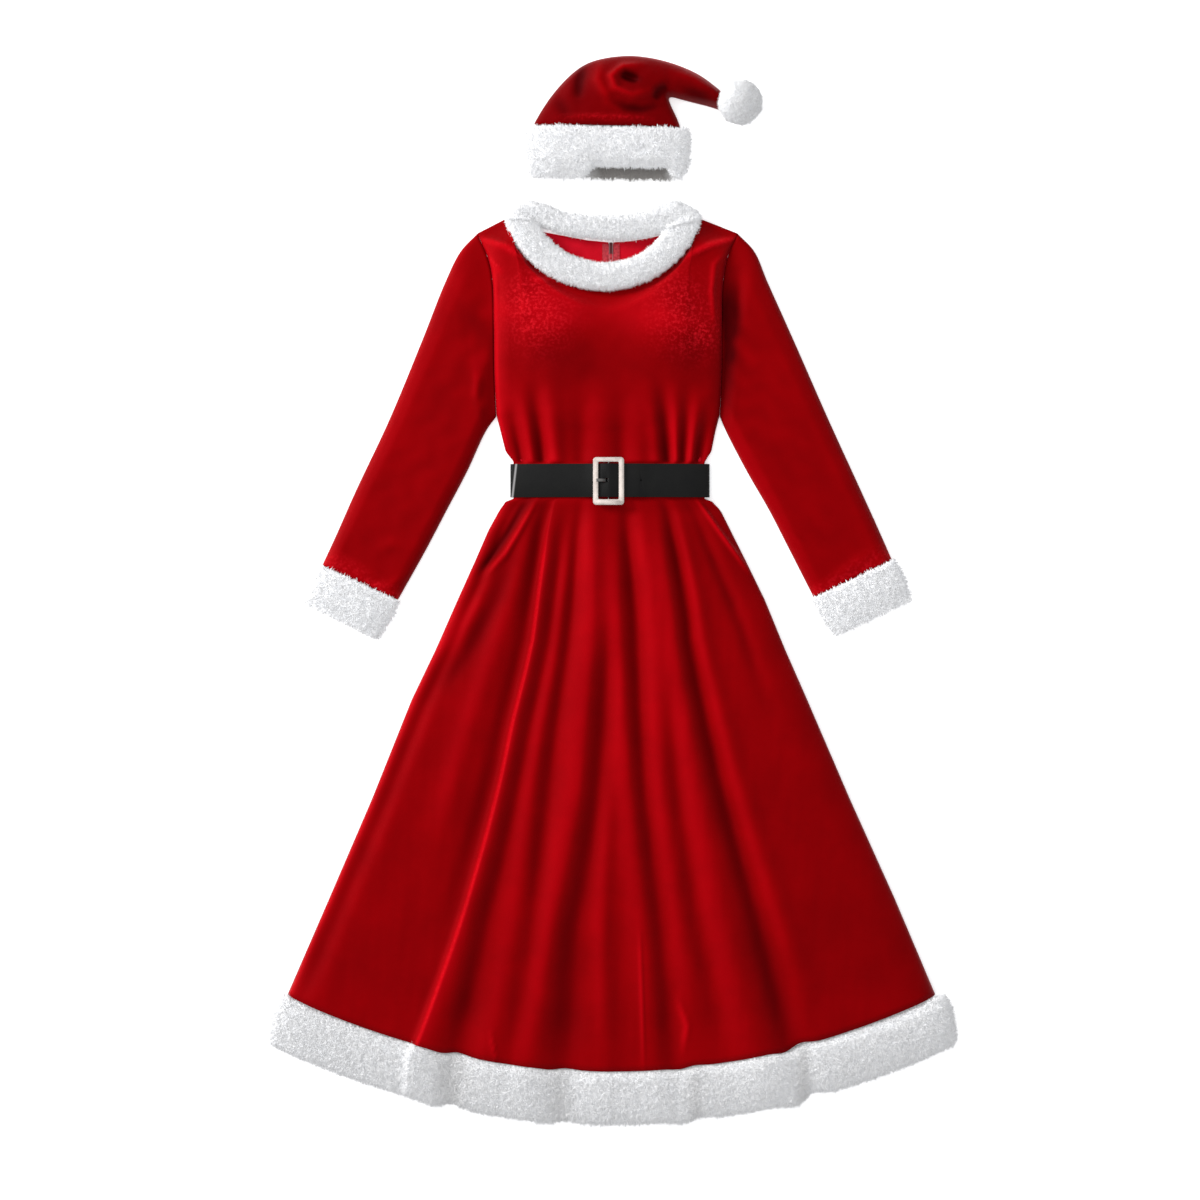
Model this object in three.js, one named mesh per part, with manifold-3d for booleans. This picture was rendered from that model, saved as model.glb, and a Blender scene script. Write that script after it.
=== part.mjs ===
// A long velvet dress with fur bands, its belt and its hat, laid flat and seen from above.
// Units are millimetres. X runs right, Y runs from the hem to the neck, and Z is up from
// the surface that everything lies on, at Z = 0.
import * as THREE from 'three';
import { mergeVertices } from 'three/addons/utils/BufferGeometryUtils.js';
import Module from 'manifold-3d';

const wasm = await Module();
wasm.setup();

// Driving dimensions
const CLOTH = 2; // velvet wall
const SEAM = 0.3; // gap between pieces at a seam
const BELT = { top: 191, width: 50, thick: 2.4 };
const BELT_MIDDLE = BELT.top - BELT.width / 2;
const BELT_ROWS = [195, 180]; // rows of the bodice that stay straight at the belt
const BELT_GAP = 0.3; // gap between layers at the belt
const HOLE_X = 42.75; // the one punched hole in sight
const WAIST_SEAM = 166; // hidden under the belt
const ABOVE_BELT = 207; // last straight row of the bodice
const BELOW_BELT = 134; // first row of the flared skirt
const SKIRT_TOP_ROWS = [152, 140, BELOW_BELT, 127]; // rows of the skirt at the belt
const FIRST_FLARED_ROW = 119;
const FOLD_WIDTH = { waist: 310, hem: 975 }; // widths that the folds are shared over
const HEM_SPAN = 1000; // about the width of the fur hem
const HEM_ROUNDING = 30; // the hem thins out over this length at its sides
const BACK_REACH = 12; // the back rises onto the belt over this length
const BODICE_ROUNDING = 45; // the bodice rises from its sides over this width
const SKIRT_ROUNDING = 55; // and the skirt over this one
const HEM_SEAM = -607; // level of the hem seam at the side edges
const HEM_EDGE = -682; // level of the lowest edge of the fur at the sides
const HEM_SAG = 113; // how far the middle of the hem seam lies below its ends
const HEM_EDGE_SAG = 120;
const BACK_LIFT = 2.7; // the back panels pass over the belt
const WAIST_LOFT = 9; // air under the front panel at the belt
const SKIRT_LOFT = 13; // air under the front panel of the skirt
const HEM_LOFT = 6.2; // and what the fur adds to it at the hem
const SIDE_LIFT = CLOTH + SEAM; // front panel on the back panel at a side seam
const BODICE_LOFT = 8; // air between the front and the back of the bodice
const BUST = { left: -80, right: 62, y: 385, high: 5, radius: 62, squash: 0.8 };
const ARM_GAP = 0.9; // between a sleeve and the body at the armhole
const ARM_LIFT = 7; // how far the armhole stands open
const NECK = { x: -14, y: 560, half: 146, depth: 107, power: 1.3 };
const NECK_IN = { x: -18, y: 549, half: 89, front: 52, back: 24, tilt: -0.07 };
const CENTRE_BACK = -2.25;
const BUCKLE = { left: -29.25, right: 17.25, top: 200.5, bottom: 129, z: 24.5, thick: 3 };
const BUCKLE_BARS = { side: 7.8, top: 6.9, bottom: 8.4 };
const PIN = { x: -6, z: 21.5, radius: 1.25 };
const PRONG_WIDTH = 4.4;
const ZIP = { low: 226, high: 523 };
const POMPOM = { x: 191.25, y: 732, z: 25.4, core: 19, reach: 29, flat: 0.85 };

// Side edges of the dress from the armpits down
const sideEdges = [
  { y: 265, left: -174.75, right: 161.5 },
  { y: 241.5, left: -168.75, right: 155.25 },
  { y: 211.5, left: -161.25, right: 149.25 },
  { y: 207, left: -158.5, right: 147 },
  { y: 195, left: -148.9, right: 138.7 },
  { y: 139, left: -148.9, right: 138.7 },
  { y: 134, left: -161, right: 150.5 },
  { y: 121.5, left: -170.25, right: 162.75 },
  { y: 91.5, left: -186.75, right: 177.75 },
  { y: 46.5, left: -206.25, right: 200.25 },
  { y: -13.5, left: -233.25, right: 229.5 },
  { y: -88.5, left: -266.25, right: 260.25 },
  { y: -163.5, left: -302.25, right: 293.25 },
  { y: -313.5, left: -362.25, right: 357.75 },
  { y: -463.5, left: -426.75, right: 425.25 },
  { y: -607, left: -489, right: 486 },
];

// Folds of the front skirt. Each crest runs like a ray: its share of the width is given at
// the waist, halfway and at the hem. Height and half width are in mm, and a fold lives
// between its two shares of the length. A negative height is a trough.
const skirtFolds = [
  { waist: 0.105, middle: 0.12, hem: 0.1, height: 7, half: 22, from: 0, to: 0.75 },
  { waist: 0.17, middle: 0.2, hem: 0.18, height: 6, half: 18, from: 0, to: 0.6 },
  { waist: 0.225, middle: 0.233, hem: 0.22, height: -5, half: 11, from: 0, to: 0.55 },
  { waist: 0.277, middle: 0.268, hem: 0.226, height: 14, half: 15, from: 0, to: 1.1 },
  { waist: 0.315, middle: 0.291, hem: 0.262, height: -8, half: 11, from: 0.05, to: 1.1 },
  { waist: 0.345, middle: 0.338, hem: 0.332, height: 8, half: 14, from: 0.1, to: 1.05 },
  { waist: 0.372, middle: 0.366, hem: 0.35, height: -5, half: 12, from: 0, to: 1 },
  { waist: 0.46, middle: 0.452, hem: 0.398, height: 11, half: 19, from: 0, to: 1.1 },
  { waist: 0.5, middle: 0.488, hem: 0.434, height: -8, half: 13, from: 0.2, to: 1.1 },
  { waist: 0.535, middle: 0.553, hem: 0.58, height: 9, half: 16, from: 0.1, to: 1.05 },
  { waist: 0.575, middle: 0.577, hem: 0.592, height: -6, half: 11, from: 0, to: 1.1 },
  { waist: 0.648, middle: 0.632, hem: 0.648, height: 8, half: 15, from: 0, to: 1 },
  { waist: 0.68, middle: 0.658, hem: 0.676, height: -4, half: 11, from: 0.3, to: 1 },
  { waist: 0.7, middle: 0.716, hem: 0.738, height: 12, half: 21, from: 0.05, to: 1.1 },
  { waist: 0.762, middle: 0.75, hem: 0.776, height: -9, half: 14, from: 0, to: 1.1 },
  { waist: 0.8, middle: 0.81, hem: 0.83, height: 7, half: 24, from: 0, to: 0.85 },
  { waist: 0.893, middle: 0.9, hem: 0.92, height: -5, half: 14, from: 0, to: 0.45 },
  { waist: 0.94, middle: 0.95, hem: 0.95, height: 4, half: 16, from: 0, to: 0.3 },
];

// Small gathers of the bodice above the belt, as X at the belt and X where each fades out
const bodiceFolds = [
  { belt: -136, fade: -128, top: 300, height: 4, half: 8 },
  { belt: -88, fade: -96, top: 350, height: 4.5, half: 11 },
  { belt: -16, fade: -20, top: 380, height: 5, half: 13 },
  { belt: 10, fade: 6, top: 330, height: 3.5, half: 9 },
  { belt: 37, fade: 44, top: 360, height: 4, half: 10 },
  { belt: 93, fade: 98, top: 350, height: 4.5, half: 11 },
  { belt: 118, fade: 130, top: 320, height: 4, half: 9 },
];

// The fallen tip of the hat, section by section from the brim: the outer edge (a), the
// inner edge (b) and how high the section stands
const crownSections = [
  { ax: -118.5, ay: 700.6, bx: 102.8, by: 697.1, high: 20 },
  { ax: -105, ay: 722, bx: 97, by: 713, high: 24 },
  { ax: -87.5, ay: 747, bx: 90, by: 727, high: 28 },
  { ax: -63, ay: 773, bx: 86.5, by: 735.5, high: 31 },
  { ax: -40, ay: 791, bx: 85.2, by: 739.2, high: 33 },
  { ax: -12, ay: 799.5, bx: 85.2, by: 741.7, high: 34 },
  { ax: 24, ay: 803.5, bx: 86.6, by: 743.4, high: 34 },
  { ax: 53, ay: 801, bx: 89, by: 743.9, high: 32 },
  { ax: 81, ay: 795, bx: 93, by: 743.2, high: 30 },
  { ax: 110, ay: 786, bx: 103, by: 740.5, high: 28 },
  { ax: 134, ay: 774.5, bx: 122, by: 735.5, high: 27 },
  { ax: 153, ay: 761.5, bx: 143, by: 730.5, high: 27 },
  { ax: 165, ay: 751, bx: 160, by: 725, high: 27 },
  { ax: 171.8, ay: 743, bx: 171.8, by: 721, high: 27 },
];

// The brim from its seam with the cap to its lower edge
const brimSections = [
  { y: 698.5, left: -126, right: 112, high: 15 },
  { y: 691, left: -130.5, right: 116.5, high: 23 },
  { y: 670, left: -132.5, right: 118, high: 27 },
  { y: 648, left: -131, right: 117, high: 27 },
  { y: 630, left: -125, right: 111, high: 22 },
  { y: 620.5, left: -116, right: 103, high: 14 },
];

// How far the top edge of the back neck band rises, by its distance from the shoulder
const bandRise = [
  { m: 0, rise: 0 },
  { m: 0.2, rise: 5.5 },
  { m: 0.465, rise: 17.5 },
  { m: 0.66, rise: 25 },
  { m: 0.8, rise: 19 },
  { m: 0.9, rise: 8 },
  { m: 1, rise: 2.5 },
];

// The middle line of the strap at the buckle, from the left to the tail
const tailOverBar = [
  { x: -46, z: 17.5 },
  { x: -38, z: 18.4 },
  { x: -30, z: 20.6 },
  { x: -25.5, z: 21.8 },
  { x: -21.5, z: 22.9 },
  { x: -17, z: 24.5 },
  { x: -11, z: 26.4 },
  { x: -6, z: 26.95 },
  { x: -2, z: 26.6 },
  { x: 3, z: 24.9 },
  { x: 8, z: 23.1 },
  { x: 10, z: 22.9 },
  { x: 32, z: 22.9 },
  { x: 40, z: 22.2 },
  { x: 50, z: 20.3 },
];

// The middle line of the fixed strap, from the loop on the centre bar to the right
const fixedFromBar = [
  { x: -3, z: 23.9 },
  { x: 0, z: 22.9 },
  { x: 4, z: 21.3 },
  { x: 8, z: 20.3 },
  { x: 10, z: 20.2 },
  { x: 31, z: 20.2 },
  { x: 39, z: 19.4 },
  { x: 49, z: 17.6 },
];

const mix = (a, b, t) => a + (b - a) * t;
const clamp01 = (t) => Math.min(1, Math.max(0, t));
const ease = (a, b, t) => {
  const s = clamp01((t - a) / (b - a));
  return s * s * (3 - 2 * s);
};
const bump = (distance, half) => Math.exp(-((distance / half) ** 2));
// A rounded shoulder: 0 at the edge and 1 from the given distance inwards
const roll = (distance, radius) => Math.sqrt(1 - (1 - clamp01(distance / radius)) ** 2);

// Reads a column of a table by another column, in either order of its rows
function lookUp(table, key, column, value) {
  const up = table[table.length - 1][key] > table[0][key];
  const rows = up ? table : [...table].reverse();
  if (value <= rows[0][key]) return rows[0][column];
  for (let i = 1; i < rows.length; i++) {
    if (value <= rows[i][key]) {
      const t = (value - rows[i - 1][key]) / (rows[i][key] - rows[i - 1][key]);
      return mix(rows[i - 1][column], rows[i][column], t);
    }
  }
  return rows[rows.length - 1][column];
}

// A polyline or smooth curve through points, read by its share of length
function curve(points, smooth = true) {
  const vectors = points.map(([x, y, z = 0]) => new THREE.Vector3(x, y, z));
  if (smooth) {
    const spline = new THREE.CatmullRomCurve3(vectors, false, 'centripetal');
    return (t) => spline.getPointAt(clamp01(t)).toArray();
  }
  const path = new THREE.CurvePath();
  for (let i = 1; i < vectors.length; i++) path.add(new THREE.LineCurve3(vectors[i - 1], vectors[i]));
  return (t) => path.getPointAt(clamp01(t)).toArray();
}

// Two curves end to end, the first taking the given share
const joined = (first, share, second) => (t) =>
  t <= share ? first(t / share) : second((t - share) / (1 - share));

// A Coons patch: a surface from its top, bottom, left and right edges
function patch(top, bottom, left, right) {
  const [tl, tr, bl, br] = [top(0), top(1), bottom(0), bottom(1)];
  return (u, v) => {
    const [t, b, l, r] = [top(u), bottom(u), left(v), right(v)];
    return [0, 1, 2].map((k) => {
      const across = mix(t[k], b[k], v) + mix(l[k], r[k], u);
      return across - mix(mix(tl[k], tr[k], u), mix(bl[k], br[k], u), v);
    });
  };
}

// A closed mesh from vertices and triangles
function solid(vertices, faces) {
  const geometry = new THREE.BufferGeometry();
  geometry.setAttribute('position', new THREE.Float32BufferAttribute(vertices.flat(), 3));
  geometry.setIndex(faces.flat());
  geometry.computeVertexNormals();
  return geometry;
}

// A wall from a grid of points seen from above. rows[i][j] is a point of the underside, rows
// run downwards (to -Y) and columns run to +X, and the upper face lies `thick` above it.
function wall(rows, thick = CLOTH) {
  const width = rows[0].length;
  const under = rows.flat();
  const upper = under.map(([x, y, z]) => [x, y, z + thick]);
  const base = under.length;
  const faces = [];
  for (let i = 0; i + 1 < rows.length; i++) {
    for (let j = 0; j + 1 < width; j++) {
      const a = i * width + j;
      const b = a + 1;
      const c = a + width;
      const d = c + 1;
      faces.push([a, b, d], [a, d, c]);
      faces.push([base + a, base + d, base + b], [base + a, base + c, base + d]);
    }
  }
  const rim = [];
  for (let j = 0; j < width; j++) rim.push(j);
  for (let i = 1; i < rows.length; i++) rim.push(i * width + width - 1);
  for (let j = width - 2; j >= 0; j--) rim.push((rows.length - 1) * width + j);
  for (let i = rows.length - 2; i > 0; i--) rim.push(i * width);
  rim.forEach((a, k) => {
    const b = rim[(k + 1) % rim.length];
    faces.push([a, base + b, b], [a, base + a, base + b]);
  });
  return solid([...under, ...upper], faces);
}

// Triangles of the skin between neighbouring loops, which all have the same number of points
function skin(count, size, offset, flip) {
  const faces = [];
  for (let i = 0; i + 1 < count; i++) {
    for (let j = 0; j < size; j++) {
      const a = offset + i * size + j;
      const b = offset + i * size + ((j + 1) % size);
      const c = a + size;
      const d = b + size;
      const two = [[a, b, d], [a, d, c]];
      faces.push(...(flip ? two.map(([p, q, r]) => [p, r, q]) : two));
    }
  }
  return faces;
}

// A closed bar from loops, capped at both ends
function bar(loops) {
  const size = loops[0].length;
  const last = (loops.length - 1) * size;
  const faces = skin(loops.length, size, 0, false);
  for (let j = 1; j + 1 < size; j++) {
    faces.push([0, j + 1, j], [last, last + j, last + j + 1]);
  }
  return outward(solid(loops.flat(), faces));
}

// A tube with a wall from outer and inner loops, open at both ends or closed at the far one
function tube(outer, inner, closedEnd = false) {
  const size = outer[0].length;
  const base = outer.length * size;
  const kept = closedEnd ? inner.slice(0, -1) : inner;
  const faces = [...skin(outer.length, size, 0, false), ...skin(kept.length, size, base, true)];
  for (let j = 0; j < size; j++) {
    const k = (j + 1) % size;
    faces.push([j, base + k, k], [j, base + j, base + k]);
  }
  const outerEnd = (outer.length - 1) * size;
  const innerEnd = base + (kept.length - 1) * size;
  for (let j = 0; j < size; j++) {
    const k = (j + 1) % size;
    if (!closedEnd) {
      faces.push([outerEnd + j, outerEnd + k, innerEnd + k], [outerEnd + j, innerEnd + k, innerEnd + j]);
    } else if (j > 0 && j + 1 < size) {
      faces.push([outerEnd, outerEnd + j, outerEnd + k], [innerEnd, innerEnd + k, innerEnd + j]);
    }
  }
  return outward(solid([...outer, ...kept].flat(), faces));
}

// Turns a closed mesh the right way out where its volume is negative
function outward(geometry) {
  const p = geometry.attributes.position;
  const index = geometry.index;
  const [a, b, c] = [new THREE.Vector3(), new THREE.Vector3(), new THREE.Vector3()];
  let volume = 0;
  for (let i = 0; i < index.count; i += 3) {
    a.fromBufferAttribute(p, index.getX(i));
    b.fromBufferAttribute(p, index.getX(i + 1));
    c.fromBufferAttribute(p, index.getX(i + 2));
    volume += a.dot(b.cross(c));
  }
  if (volume < 0) {
    for (let i = 0; i < index.count; i += 3) {
      const keep = index.getX(i + 1);
      index.setX(i + 1, index.getX(i + 2));
      index.setX(i + 2, keep);
    }
    geometry.computeVertexNormals();
  }
  return geometry;
}

const toManifold = (geometry) => {
  const bare = geometry.clone();
  bare.deleteAttribute('normal');
  bare.deleteAttribute('uv');
  const merged = mergeVertices(bare, 1e-4);
  return new wasm.Manifold(new wasm.Mesh({
    numProp: 3,
    vertProperties: new Float32Array(merged.attributes.position.array),
    triVerts: new Uint32Array(merged.index.array),
  }));
};

const fromManifold = (manifold) => {
  const mesh = manifold.getMesh();
  const geometry = new THREE.BufferGeometry();
  geometry.setAttribute('position', new THREE.BufferAttribute(new Float32Array(mesh.vertProperties), 3));
  geometry.setIndex(new THREE.BufferAttribute(new Uint32Array(mesh.triVerts), 1));
  geometry.computeVertexNormals();
  return geometry;
};

// A box from its low and high corners
function block(low, high) {
  const size = high.map((value, k) => value - low[k]);
  return new THREE.BoxGeometry(...size).translate(...low.map((value, k) => value + size[k] / 2));
}

// An outline in X and Z drawn along Y, from its far side at `far` towards -Y
const alongY = (shape, far, depth) =>
  new THREE.ExtrudeGeometry(shape, { depth, bevelEnabled: false, curveSegments: 8 })
    .rotateX(Math.PI / 2)
    .translate(0, far, 0);

const velvet = new THREE.MeshStandardMaterial({ color: 0xa5010a, roughness: 0.75, metalness: 0 });
const fur = new THREE.MeshStandardMaterial({ color: 0xe9e9ec, roughness: 0.95, metalness: 0 });
const leather = new THREE.MeshStandardMaterial({ color: 0x17181a, roughness: 0.55, metalness: 0 });
const silver = new THREE.MeshStandardMaterial({ color: 0xd9cfc6, roughness: 0.32, metalness: 0.9 });
const zipRed = new THREE.MeshStandardMaterial({ color: 0x8c0a12, roughness: 0.6, metalness: 0 });

const group = new THREE.Group();
function add(name, geometry, material) {
  const mesh = new THREE.Mesh(geometry, material.clone());
  mesh.name = name;
  group.add(mesh);
}

// Where the side edge lies at a height
const sideX = (side, y) => lookUp(sideEdges, 'y', side, y);
// Air under the front at the waist, flat in the middle and falling to the sides
const waistShape = (u) => WAIST_LOFT * (1 - Math.abs(2 * u - 1) ** 3);
const backLift = (y) => BACK_LIFT * clamp01((ABOVE_BELT - y) / BACK_REACH) * ease(122, 137, y);
const frontSeamLift = (y) => SIDE_LIFT + backLift(y);

// The front neckline, just outside the fur band
const neckLine = (u) => {
  const angle = Math.PI * (1 - u);
  const rise = Math.sin(angle) ** NECK.power;
  return [NECK.x + (NECK.half + 0.7) * Math.cos(angle), NECK.y - (NECK.depth + 0.6) * rise, 7];
};

const armholes = {
  left: curve([[-203.25, 538.5], [-186, 497], [-180, 460], [-178.5, 400], [-177.5, 320], [-174.75, 265]]),
  right: curve([[188.25, 538.5], [173, 502], [166, 460], [164.5, 400], [164, 320], [161.5, 265]]),
};

// The armhole and the side below it, at the height of the front or the back panel
function flank(side, front) {
  const arm = (t) => {
    const [x, y] = armholes[side](t);
    return [x, y, front ? SIDE_LIFT + ARM_LIFT * Math.sin(Math.PI * t) : 0];
  };
  const below = (t) => {
    const y = mix(265, ABOVE_BELT, t);
    return [sideX(side, y), y, front ? frontSeamLift(y) : backLift(y)];
  };
  return joined(arm, 0.75, below);
}

// The bodice down to the belt, then straight rows under it to the waist seam
function bodiceRows(surface, columns, downRows, straight) {
  const rows = [];
  for (let i = 0; i <= downRows; i++) {
    rows.push(columns.map((u) => surface(u, i / downRows)));
  }
  for (const y of [...BELT_ROWS, WAIST_SEAM + SEAM / 2]) {
    rows.push(columns.map((u) => straight(u, y)));
  }
  return rows;
}

const steps = (count, from = 0, to = 1) =>
  Array.from({ length: count + 1 }, (_, i) => mix(from, to, i / count));

function bodiceFront() {
  const shoulderShare = 1 / 7;
  const leftShoulder = curve([[-203.25, 538.5, SIDE_LIFT], [-160.7, 560, 5]], false);
  const rightShoulder = curve([[132.7, 560, 5], [188.25, 538.5, SIDE_LIFT]], false);
  const neckAndRight = joined(neckLine, 5 / 6, rightShoulder);
  const top = joined(leftShoulder, shoulderShare, neckAndRight);
  const bottom = (u) => straight(u, ABOVE_BELT);
  const straight = (u, y) => {
    const x = mix(sideX('left', y), sideX('right', y), u);
    return [x, y, frontSeamLift(y) + waistShape(u)];
  };
  const base = patch(top, bottom, flank('left', true), flank('right', true));
  const surface = (u, v) => {
    const [x, y, z] = base(u, v);
    const sideways = Math.min(x - base(0, v)[0], base(1, v)[0] - x);
    const inside = roll(sideways, BODICE_ROUNDING) * ease(0, 0.16, v) * ease(1, 0.8, v);
    const round = (centre) => bump(Math.hypot(x - centre, (y - BUST.y) * BUST.squash), BUST.radius);
    const bust = BUST.high * (round(BUST.left) + round(BUST.right));
    let gathers = 0;
    for (const fold of bodiceFolds) {
      const t = clamp01((y - BELT.top) / (fold.top - BELT.top));
      gathers += fold.height * bump(x - mix(fold.belt, fold.fade, t), fold.half + 6 * t) * ease(1, 0.25, t);
    }
    gathers *= ease(ABOVE_BELT - 1, ABOVE_BELT + 14, y) * roll(sideways, 20);
    return [x, y, z + (BODICE_LOFT + bust) * inside + gathers];
  };
  return wall(bodiceRows(surface, steps(28), 11, straight));
}

// The back neckline runs under the band from the shoulder, then along its inner seam
function backNeck(sign) {
  const reach = (m) => NECK_IN.y + 3.4 - 24.6 * m;
  const shoulderX = sign < 0 ? -160.7 : 132.7;
  const rows = sign < 0
    ? [[shoulderX, 556], [-130, 548], [-104, 541], [-82, reach(0.62)], [-55, reach(0.9)],
      [CENTRE_BACK - 3.4, 525.4]]
    : [[CENTRE_BACK + 3.4, 525.4], [25, 526], [45, reach(0.78)], [66, 531], [100, 545], [shoulderX, 556]];
  return curve(rows, false);
}

function bodiceBack(side) {
  const isLeft = side === 'left';
  const centreX = CENTRE_BACK + (isLeft ? -3.5 : 3.5);
  const tip = armholes[side](0);
  const neck = backNeck(isLeft ? -1 : 1);
  const neckStart = isLeft ? neck(0) : neck(1);
  const shoulder = curve(isLeft ? [tip, neckStart] : [neckStart, tip], false);
  const top = isLeft ? joined(shoulder, 0.3, neck) : joined(neck, 0.7, shoulder);
  const edgeX = (y) => sideX(side, y);
  const straight = (u, y) => {
    const x = isLeft ? mix(edgeX(y), centreX, u) : mix(centreX, edgeX(y), u);
    return [x, y, backLift(y)];
  };
  const bottom = (u) => straight(u, ABOVE_BELT);
  const centre = curve([[centreX, 525.4], [centreX, ABOVE_BELT]], false);
  const outside = flank(side, false);
  const flat = isLeft ? patch(top, bottom, outside, centre) : patch(top, bottom, centre, outside);
  const surface = (u, v) => {
    const [x, y] = flat(u, v);
    return [x, y, backLift(y)];
  };
  return wall(bodiceRows(surface, steps(7), 10, straight));
}

// The flared skirt: a share of the width and a level give a point, and the middle of a level
// lies below its ends
function skirtPoint(share, level) {
  const t = clamp01((BELOW_BELT - level) / (BELOW_BELT - HEM_SEAM));
  const x = mix(sideX('left', level), sideX('right', level), share);
  return [x, level - HEM_SAG * t * (1 - (2 * share - 1) ** 2), t];
}

function skirtFoldHeight(share, t) {
  const width = mix(FOLD_WIDTH.waist, FOLD_WIDTH.hem, t);
  let height = 0;
  for (const fold of skirtFolds) {
    const crest = t < 0.5 ? mix(fold.waist, fold.middle, 2 * t) : mix(fold.middle, fold.hem, 2 * t - 1);
    const alive = ease(fold.from - 0.06, fold.from + 0.12, t) * ease(fold.to + 0.05, fold.to - 0.2, t);
    const half = fold.half * mix(0.6, 1.25, t);
    height += fold.height * alive * bump((share - crest) * width, half);
  }
  return height;
}

// Air under the front of the skirt, with its folds, kept above the back panel
function skirtLift(share, level) {
  const [, , t] = skirtPoint(share, level);
  const width = sideX('right', level) - sideX('left', level);
  const edge = Math.min(share, 1 - share) * width;
  const loft = mix(WAIST_LOFT, SKIRT_LOFT, ease(0, 0.4, t)) * roll(edge, SKIRT_ROUNDING);
  const body = loft + skirtFoldHeight(share, t) * roll(edge, 40);
  const waist = mix(waistShape(share), Math.max(body, 0.2 + 2 * roll(edge, 20)), ease(0, 0.035, t));
  return waist + HEM_LOFT * roll(edge, HEM_ROUNDING) * ease(0.9, 1, t);
}

const skirtLevels = (count) => {
  const flared = steps(count, 0, 1).map((t) => mix(FIRST_FLARED_ROW, HEM_SEAM, t ** 1.1));
  return [WAIST_SEAM - SEAM / 2, ...SKIRT_TOP_ROWS, ...flared];
};

function skirtFront() {
  const rows = skirtLevels(12).map((level) =>
    steps(56).map((share) => {
      const [x, y] = skirtPoint(share, level);
      const lift = level >= BELOW_BELT + 1 ? waistShape(share) : skirtLift(share, level);
      return [x, y, frontSeamLift(level) + lift];
    }));
  return wall(rows);
}

function skirtBack() {
  const rows = skirtLevels(2).map((level) =>
    steps(28).map((share) => {
      const [x, y] = skirtPoint(share, level);
      return [x, y, backLift(level)];
    }));
  return wall(rows);
}

// The fur hem lies below the hem seam. q runs from the seam to the lowest edge.
function hemPoint(share, q) {
  const left = mix(-495, -516.75, roll(q, 1));
  const right = mix(493, 516.75, roll(q, 1));
  const level = mix(HEM_SEAM, HEM_EDGE, q);
  const sag = mix(HEM_SAG, HEM_EDGE_SAG, q);
  return [mix(left, right, share), level - SEAM - sag * (1 - (2 * share - 1) ** 2)];
}

// 0 at the side edges of the hem and 1 away from them
const hemEdge = (share) => roll(Math.min(share, 1 - share) * HEM_SPAN, HEM_ROUNDING);
const hemBackTop = (share, q) => mix(8.2, 3, q) * hemEdge(share) + 0.6;

function hemBack() {
  return bar(steps(56).map((share) => {
    const place = (q, z) => [...hemPoint(share, q), z];
    const top = (q) => place(q, hemBackTop(share, q));
    return [place(0, 0), place(0.95, 0), top(0.95), top(0.5), top(0)];
  }));
}

function hemFront() {
  return bar(steps(56).map((share) => {
    const edge = hemEdge(share);
    const folds = skirtFoldHeight(share, 1) * edge;
    const air = Math.max(folds, -5) + 6;
    const under = (q) => hemBackTop(share, q) + SEAM + air * (1 - 0.65 * q) * edge;
    const thick = (q) => mix(5, 16, edge) * (0.45 + 0.55 * Math.sin(Math.PI * mix(0.12, 0.9, q)));
    const place = (q, z) => [...hemPoint(share, q), z];
    const lower = (q) => place(q, under(q));
    const upper = (q) => {
      const rise = q === 0 ? 0.45 : q === 1 ? 0.4 : 1;
      return place(q, under(q) + thick(q) * rise);
    };
    // The loop starts on the upper face, so that the caps at its ends stand upright
    const seamSide = [0.4, 0.12, 0].map(upper);
    const edgeSide = [1, 0.95, 0.75].map(upper);
    return [...seamSide, ...[0.02, 0.5, 0.95].map(lower), ...edgeSide];
  }));
}

// A flattened tube between two edge curves a(t) and b(t). Its section is a flat oval: the
// upper wall stands up to high(s, t), and the lower wall lies on the floor.
function flatTube({ a, b, high, stations, shares, under, over, side, closedEnd = false }) {
  const loop = (t, inner) => {
    const [pa, pb] = [a(t), b(t)];
    const width = Math.hypot(pb[0] - pa[0], pb[1] - pa[1]);
    const inset = inner ? side / width : 0;
    const place = (s, z) => {
      const k = mix(inset, 1 - inset, s);
      return [mix(pa[0], pb[0], k), mix(pa[1], pb[1], k), z];
    };
    const top = (s) => high(s, t) - (inner ? over : 0);
    const bottom = inner ? under : 0;
    const edgeZ = (s) => mix(bottom, high(s, t) - (inner ? over : 0), 0.5);
    const upper = shares.map((s) => place(s, top(s)));
    const lower = [...shares].reverse().filter((_, k) => k % 2 === 0).map((s) => place(s, bottom));
    return [place(0, edgeZ(0)), ...upper, place(1, edgeZ(1)), ...lower];
  };
  const outer = stations.map((t) => loop(t, false));
  const inner = stations.map((t) => loop(t, true));
  return tube(outer, inner, closedEnd);
}

// A sleeve is a patch from the armhole to the cuff, folded at its two long edges
const sleeveEdges = {
  left: {
    outer: curve([[-204.15, 538.5], [-228.75, 511.5], [-251.25, 466.5], [-287, 376.5], [-336.75, 256.5],
      [-386.25, 151.5], [-418, 80], [-437, 39]]),
    inner: curve([[-175.65, 263], [-190.5, 241], [-218.25, 181.5], [-249.75, 121.5], [-281.25, 61.5],
      [-323, -13]]),
    end: { from: [-437, 39], to: [-323, -13] },
  },
  right: {
    outer: curve([[189.15, 538.5], [213.75, 511.5], [233.25, 466.5], [273.5, 376.5], [326.25, 256.5],
      [374.25, 151.5], [403, 88], [421, 47]]),
    inner: curve([[162.4, 263], [171, 241], [201.75, 181.5], [236.25, 121.5], [264.75, 66], [303, -9]]),
    end: { from: [421, 47], to: [303, -9] },
  },
};

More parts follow.
